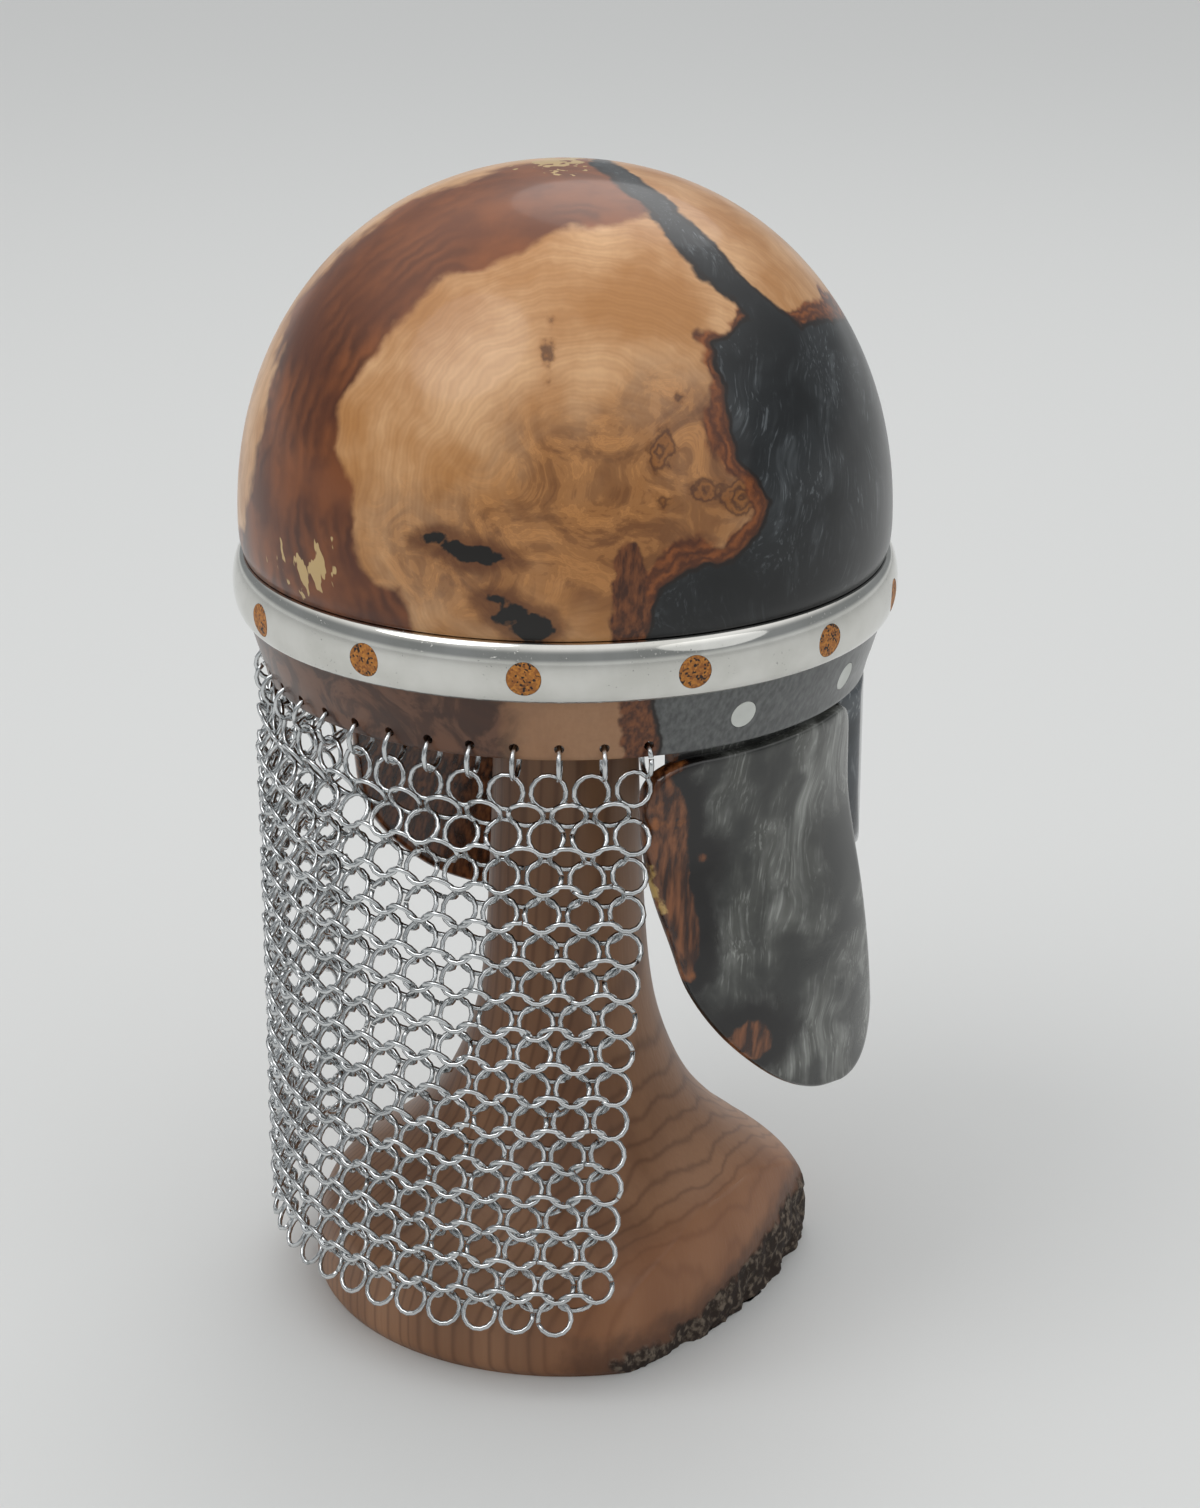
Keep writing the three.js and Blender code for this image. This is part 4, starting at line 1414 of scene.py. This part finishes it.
@dataclass
class Mail:
    """Four-in-one mail of butted rings round the back of the neck, hung from rings in the rim."""

    columns: int = 19
    rows: int = 16
    hanger_pitch: float = 7.96
    radius: float = 106.3
    link_radius: float = 5.8
    wire_radius: float = 0.9
    link_sides: int = 14
    wire_sides: int = 5
    seam_degrees: float = 4.0
    lean: float = 32.0
    hanger_radius: float = 103.4
    hanger_height: float = -1.45
    first_row: float = -11.2
    row_pitch: float = 12.5
    stretch: float = 3.2
    gather: float = 0.03
    draw_in: float = 0.075
    sway: float = -2.4
    # The first row hangs straighter and further in than the others.
    first_lean: float = -10.0
    first_radius: float = 104.4
    first_link_in: float = 0.8
    spread_degrees: float = 2.0
    spread_height: float = 0.25
    stretch_rows: float = 1.5
    sway_power: float = 1.5
    draw: random.Random = field(default_factory=lambda: random.Random(7))

    def hanger_angles(self) -> list[float]:
        """Gives the angles of the rings in the rim, counted from the face."""
        return [180 + (i - (self.columns - 1) / 2) * self.hanger_pitch for i in range(self.columns)]

    def heights(self) -> list[float]:
        """Gives the heights of the facing rows: the upper ones are stretched by the weight.

        Returns:
            The heights above the rim.
        """
        made = [self.first_row]
        for row in range(self.rows - 1):
            made.append(made[-1] - self.row_pitch - self.stretch * math.exp(-row / self.stretch_rows))
        return made

    def angle(self, column: float, height: float) -> float:
        """Gives the angle of a column at a height: the mail draws in and sways toward its bottom.

        Args:
            column: The column's number, with halves between two columns.
            height: The height above the rim.

        Returns:
            The angle in degrees.
        """
        drop = height / self.heights()[-1]
        pitch = self.hanger_pitch * (1 - self.gather - self.draw_in * drop)
        return 180 + (column - (self.columns - 1) / 2) * pitch + self.sway * drop**self.sway_power

    def ring(self) -> tuple[np.ndarray, list[list[int]]]:
        """Bends one butted ring of wire, in millimetres, flat in the plane of x and y.

        Returns:
            Its points and its faces.
        """
        bm = bmesh.new()
        stand = Matrix.Translation((self.link_radius, 0, 0)) @ Matrix.Rotation(math.pi / 2, 4, "X")
        made = bmesh.ops.create_circle(bm, segments=self.wire_sides, radius=self.wire_radius, matrix=stand)
        edges = list(bm.edges)
        bmesh.ops.spin(
            bm, geom=[*made["verts"], *edges], cent=(0, 0, 0), axis=(0, 0, 1),
            angle=math.radians(360 - self.seam_degrees), steps=self.link_sides)
        bmesh.ops.holes_fill(bm, edges=[e for e in bm.edges if e.is_boundary], sides=self.wire_sides)
        cleaned(bm)
        bm.verts.index_update()
        points = np.array([v.co for v in bm.verts])
        faces = [[v.index for v in face.verts] for face in bm.faces]
        bm.free()
        return points, faces

    def joined(self, name: str, frames: Sequence[tuple[np.ndarray, np.ndarray]]) -> Piece:
        """Joins one ring for each given place into one piece.

        Args:
            name: The piece's name.
            frames: Each ring's axes, as columns, and its middle in mm.

        Returns:
            The piece.
        """
        points, faces = self.ring()
        spots, loops = [], []
        for k, (axes, middle) in enumerate(frames):
            turn = self.draw.uniform(0, math.tau)
            spin = np.array(Matrix.Rotation(turn, 3, "Z"))
            spots.append(points @ (axes @ spin).T + middle)
            loops += [[i + k * len(points) for i in face] for face in faces]
        mesh = bpy.data.meshes.new(name)
        mesh.from_pydata((np.concatenate(spots) * MM).tolist(), [], loops)
        mesh.shade_smooth()
        made = bpy.data.objects.new(name, mesh)
        bpy.context.scene.collection.objects.link(made)
        return made

    def frame(self, angle: float, radius: float, height: float, lean: float, twist: float = 0) -> tuple:
        """Gives a ring's axes and middle.

        Args:
            angle: Its angle from the face in degrees.
            radius: Its middle's distance from the axis.
            height: Its middle's height above the rim.
            lean: How far its top leans outward, in degrees.
            twist: Its turn about the upright, in degrees.

        Returns:
            The axes as columns and the middle in mm.
        """
        turn = Matrix.Rotation(math.radians(angle + twist), 3, "Z")
        tip = Matrix.Rotation(math.radians(lean), 3, "X")
        flat = Matrix.Rotation(math.pi / 2, 3, "X")
        middle = Matrix.Rotation(math.radians(angle), 3, "Z") @ Vector((0, -radius, 0))
        return np.array(turn @ tip @ flat), np.array(middle) + (0, 0, RIM_Z + height)

    def build(self) -> Piece:
        """Links the facing rows by the rows between them.

        Returns:
            The mail.
        """
        heights = self.heights()
        frames = []
        for row, height in enumerate(heights):
            first = (self.first_lean, self.first_radius)
            lean, radius = first if row == 0 else (-self.lean, self.radius)
            last = self.columns - (1 if row == self.rows - 1 else 0)
            for column in range(last):
                tilt = lean + self.draw.gauss(0, self.spread_degrees)
                spot = height + self.draw.gauss(0, self.spread_height)
                twist = self.draw.gauss(0, self.spread_degrees)
                frames.append(self.frame(self.angle(column, height), radius, spot, tilt, twist))
        for above, below in zip(heights, heights[1:]):
            middle = (above + below) / 2
            radius = self.radius - (self.first_link_in if above == heights[0] else 0)
            for column in range(self.columns - 1):
                angle = self.angle(column + 0.5, middle)
                tilt = self.lean + self.draw.gauss(0, self.spread_degrees)
                twist = self.draw.gauss(0, self.spread_degrees)
                frames.append(self.frame(angle, radius, middle, tilt, twist))
        made = self.joined("mail_rings", frames)
        dress(made, self.finish(), Slot.MAIL, ["mail_curtain"])
        return made

    def hangers(self) -> Piece:
        """Makes the rings through the rim.

        Returns:
            The rings.
        """
        frames = []
        for angle in self.hanger_angles():
            twist = 90 + self.draw.gauss(0, self.spread_degrees)
            frames.append(self.frame(angle, self.hanger_radius, self.hanger_height, 0, twist))
        made = self.joined("hanger_rings", frames)
        dress(made, self.finish(), Slot.MAIL, [f"hanger_{i + 1}" for i in range(self.columns)])
        return made

    def finish(self) -> Finish:
        """Gives the wire's finish."""
        return CastAluminium("bright aluminium wire", "#dcdedf", "#c6c9ca", 0.2, 2.0, 0.02)


@dataclass
class Stand:
    """The turned column on a wide foot, with one raw log edge."""

    sections: tuple[Pair, ...] = (
        (91.5, 0), (93.3, 4), (93.3, 16), (88.5, 29), (75, 41), (60, 54), (46, 71), (36, 93), (30.5, 118),
        (27.5, 161), (25.5, 217),
    )
    column_radius: float = 25.5
    top_radius: float = 21.0
    shoulder: float = 10.0
    roof_gap: float = 1.3
    steps: int = 360
    log_radius: float = 190.0
    edge_distance: float = 76.5
    edge_angle: float = -66.0
    bark_rough: float = 2.6
    bark_height: float = 15.5
    bark_slope: float = 0.3
    bark_limits: Pair = (8.0, 24.0)
    bark_fade: float = 4.0
    # The bark noise: its scale per mm, its roughness, its gaps, its octaves and its middle.
    bark_noise: tuple = (0.09, 0.9, 2.1, 4, 0.3)
    edge_ease: float = 7.0
    ease_heights: Pair = (18.0, 44.0)
    underside: tuple[float, ...] = (0.0, 30.0, 60.0, 80.0)

    def top(self, crown: Crown) -> float:
        """Gives the height where the column meets the crown's roof.

        Args:
            crown: The shell that rests on the stand.

        Returns:
            The height in mm.
        """
        share = (self.top_radius / crown.hollow_radius) ** crown.dome_power
        rise = crown.hollow_rise * (1 - share) ** (1 / crown.dome_power)
        return RIM_Z + crown.hollow_mid + rise - self.roof_gap

    def log_middle(self) -> Vector:
        """Gives the middle of the log that the stand was turned from, in mm.

        Returns:
            The middle, on the floor.
        """
        turn = math.radians(self.edge_angle)
        out = self.edge_distance - self.log_radius
        return Vector((out * math.sin(turn), -out * math.cos(turn), 0))

    def build(self, crown: Crown) -> Piece:
        """Turns the stand and leaves the log's outside raw where it reaches it.

        Args:
            crown: The shell that rests on the stand.

        Returns:
            The stand.
        """
        top = self.top(crown)
        profile = [*((radius, 0.0) for radius in self.underside), *smooth_curve(self.sections[:3], 6)]
        profile += smooth_curve(self.sections[2:], 12)[1:]
        profile += [(self.column_radius, top - self.shoulder), (self.top_radius, top), (0.0, top)]
        bm = turned(profile, self.steps)
        middle = self.log_middle()
        scale, *pattern, middle_noise = self.bark_noise
        raws, barks = [], []
        for vert in bm.verts:
            spot = vert.co / MM
            turn = math.degrees(math.atan2(spot.x, -spot.y)) - self.edge_angle
            crust = float(np.clip(self.bark_height + self.bark_slope * turn, *self.bark_limits)) - spot.z
            share = float(np.clip(crust / self.bark_fade + 0.5, 0, 1))
            rough = (noise.fractal(spot * scale, *pattern) - middle_noise) * self.bark_rough * share
            rough += self.edge_ease * float(np.interp(spot.z, self.ease_heights, (0, 1))) ** 2
            radius = math.hypot(spot.x, spot.y)
            depth = math.hypot(spot.x - middle.x, spot.y - middle.y) - self.log_radius
            if depth + rough > 0 and radius > 0:
                way = Vector((spot.x, spot.y, 0)) / radius
                along = way.dot(middle)
                inside = along**2 - middle.length_squared + (self.log_radius - rough) ** 2
                reach = along + math.sqrt(inside)
                vert.co.x, vert.co.y = way.x * reach * MM, way.y * reach * MM
            raws.append(depth)
            barks.append(min(depth + 1, crust))
        made = as_object("stand_body", bm)
        store(made, raw=np.array(raws), bark=np.array(barks))
        dress(made, LiveEdgeWood("oiled hardwood with bark", tuple(middle)), Slot.STAND, ["stand"])
        return made


@dataclass
class Studio:
    """A plain pale floor, soft light and the camera."""

    focal_px: float = 3389.07
    image_height: float = 1508.0
    sensor: float = 36.0
    distance: float = 1134.94
    height: float = 622.9
    pitch: float = math.radians(20.426)
    yaw: float = 0.01075
    roll: float = 0.00202
    floor_half: float = 8.0
    look_at: tuple[float, float, float] = (0.0, 0.0, 0.25)
    # Each light's place in metres seen from the camera's side, its width in metres and its watts.
    lights: ClassVar[dict[str, tuple]] = {
        "key": ((-1.1, -0.7, 2.1), 1.5, 13.0),
        "fill": ((1.7, -1.3, 1.3), 1.6, 3.5),
        "back": ((0.4, 1.5, 2.0), 1.6, 8.0),
    }

    def camera(self) -> None:
        """Places the camera."""
        data = bpy.data.cameras.new("camera")
        data.sensor_width = self.sensor
        data.lens = self.focal_px / self.image_height * self.sensor
        made = bpy.data.objects.new("camera", data)
        turn = Matrix.Rotation(FIGURE_TURN, 4, "Z")
        spot = Matrix.Translation((0, -self.distance * MM, self.height * MM))
        look = Matrix.Rotation(-self.yaw, 4, "Z") @ Matrix.Rotation(math.pi / 2 - self.pitch, 4, "X")
        made.matrix_world = turn @ spot @ look @ Matrix.Rotation(self.roll, 4, "Z")
        bpy.context.scene.collection.objects.link(made)
        bpy.context.scene.camera = made

    def light(self, name: str, place: tuple, size: float, power: float) -> None:
        """Hangs a round soft light that points at the helmet.

        Args:
            name: The light's name.
            place: Where it hangs, in metres, as seen from the camera's side.
            size: Its width in metres.
            power: Its power in watts.
        """
        data = bpy.data.lights.new(name, "AREA")
        data.shape = "DISK"
        data.size = size
        data.energy = power
        made = bpy.data.objects.new(name, data)
        spot = Matrix.Rotation(FIGURE_TURN, 3, "Z") @ Vector(place)
        made.location = spot
        made.rotation_mode = "QUATERNION"
        made.rotation_quaternion = (Vector(self.look_at) - spot).to_track_quat("-Z", "Y")
        bpy.context.scene.collection.objects.link(made)

    def build(self) -> None:
        """Sets up the floor, the lights and the camera."""
        bm = bmesh.new()
        bmesh.ops.create_grid(bm, x_segments=8, y_segments=8, size=self.floor_half)
        floor = as_object("studio_floor", bm)
        floor.data.materials.append(PaintedBoard("pale matt board").material())
        world = bpy.data.worlds.new("studio")
        world.use_nodes = True
        tree = world.node_tree
        up = add(tree, Kind.UP, add(tree, Kind.WAY))
        # Pale at the horizon, a darker wall above it and a bright ceiling.
        sky = Finish.layers(
            tree, "#cfd1d1", (up, 0.0, 0.14, 1.0, "#8f9294"), (up, 0.35, 0.8, 1.0, "#ffffff"))
        fill(tree.nodes["Background"], {"Color": sky, "Strength": 1.0})
        bpy.context.scene.world = world
        for name, (place, size, power) in self.lights.items():
            self.light(name, place, size, power)
        bpy.context.scene.view_settings.view_transform = "Standard"
        self.camera()


def main() -> None:
    """Builds the helmet's pieces in order and reports each one."""
    logging.basicConfig(level=logging.INFO, format="%(message)s")
    crown, band, mail = Crown(), Band(), Mail()
    Studio().build()
    crown.build(mail.hanger_angles())
    crown.pins()
    band.build()
    band.plugs()
    for side in Side:
        CheekGuard(side).build()
    FacePlate().build()
    mail.build()
    mail.hangers()
    Stand().build(crown)


if __name__ == "__main__":
    main()
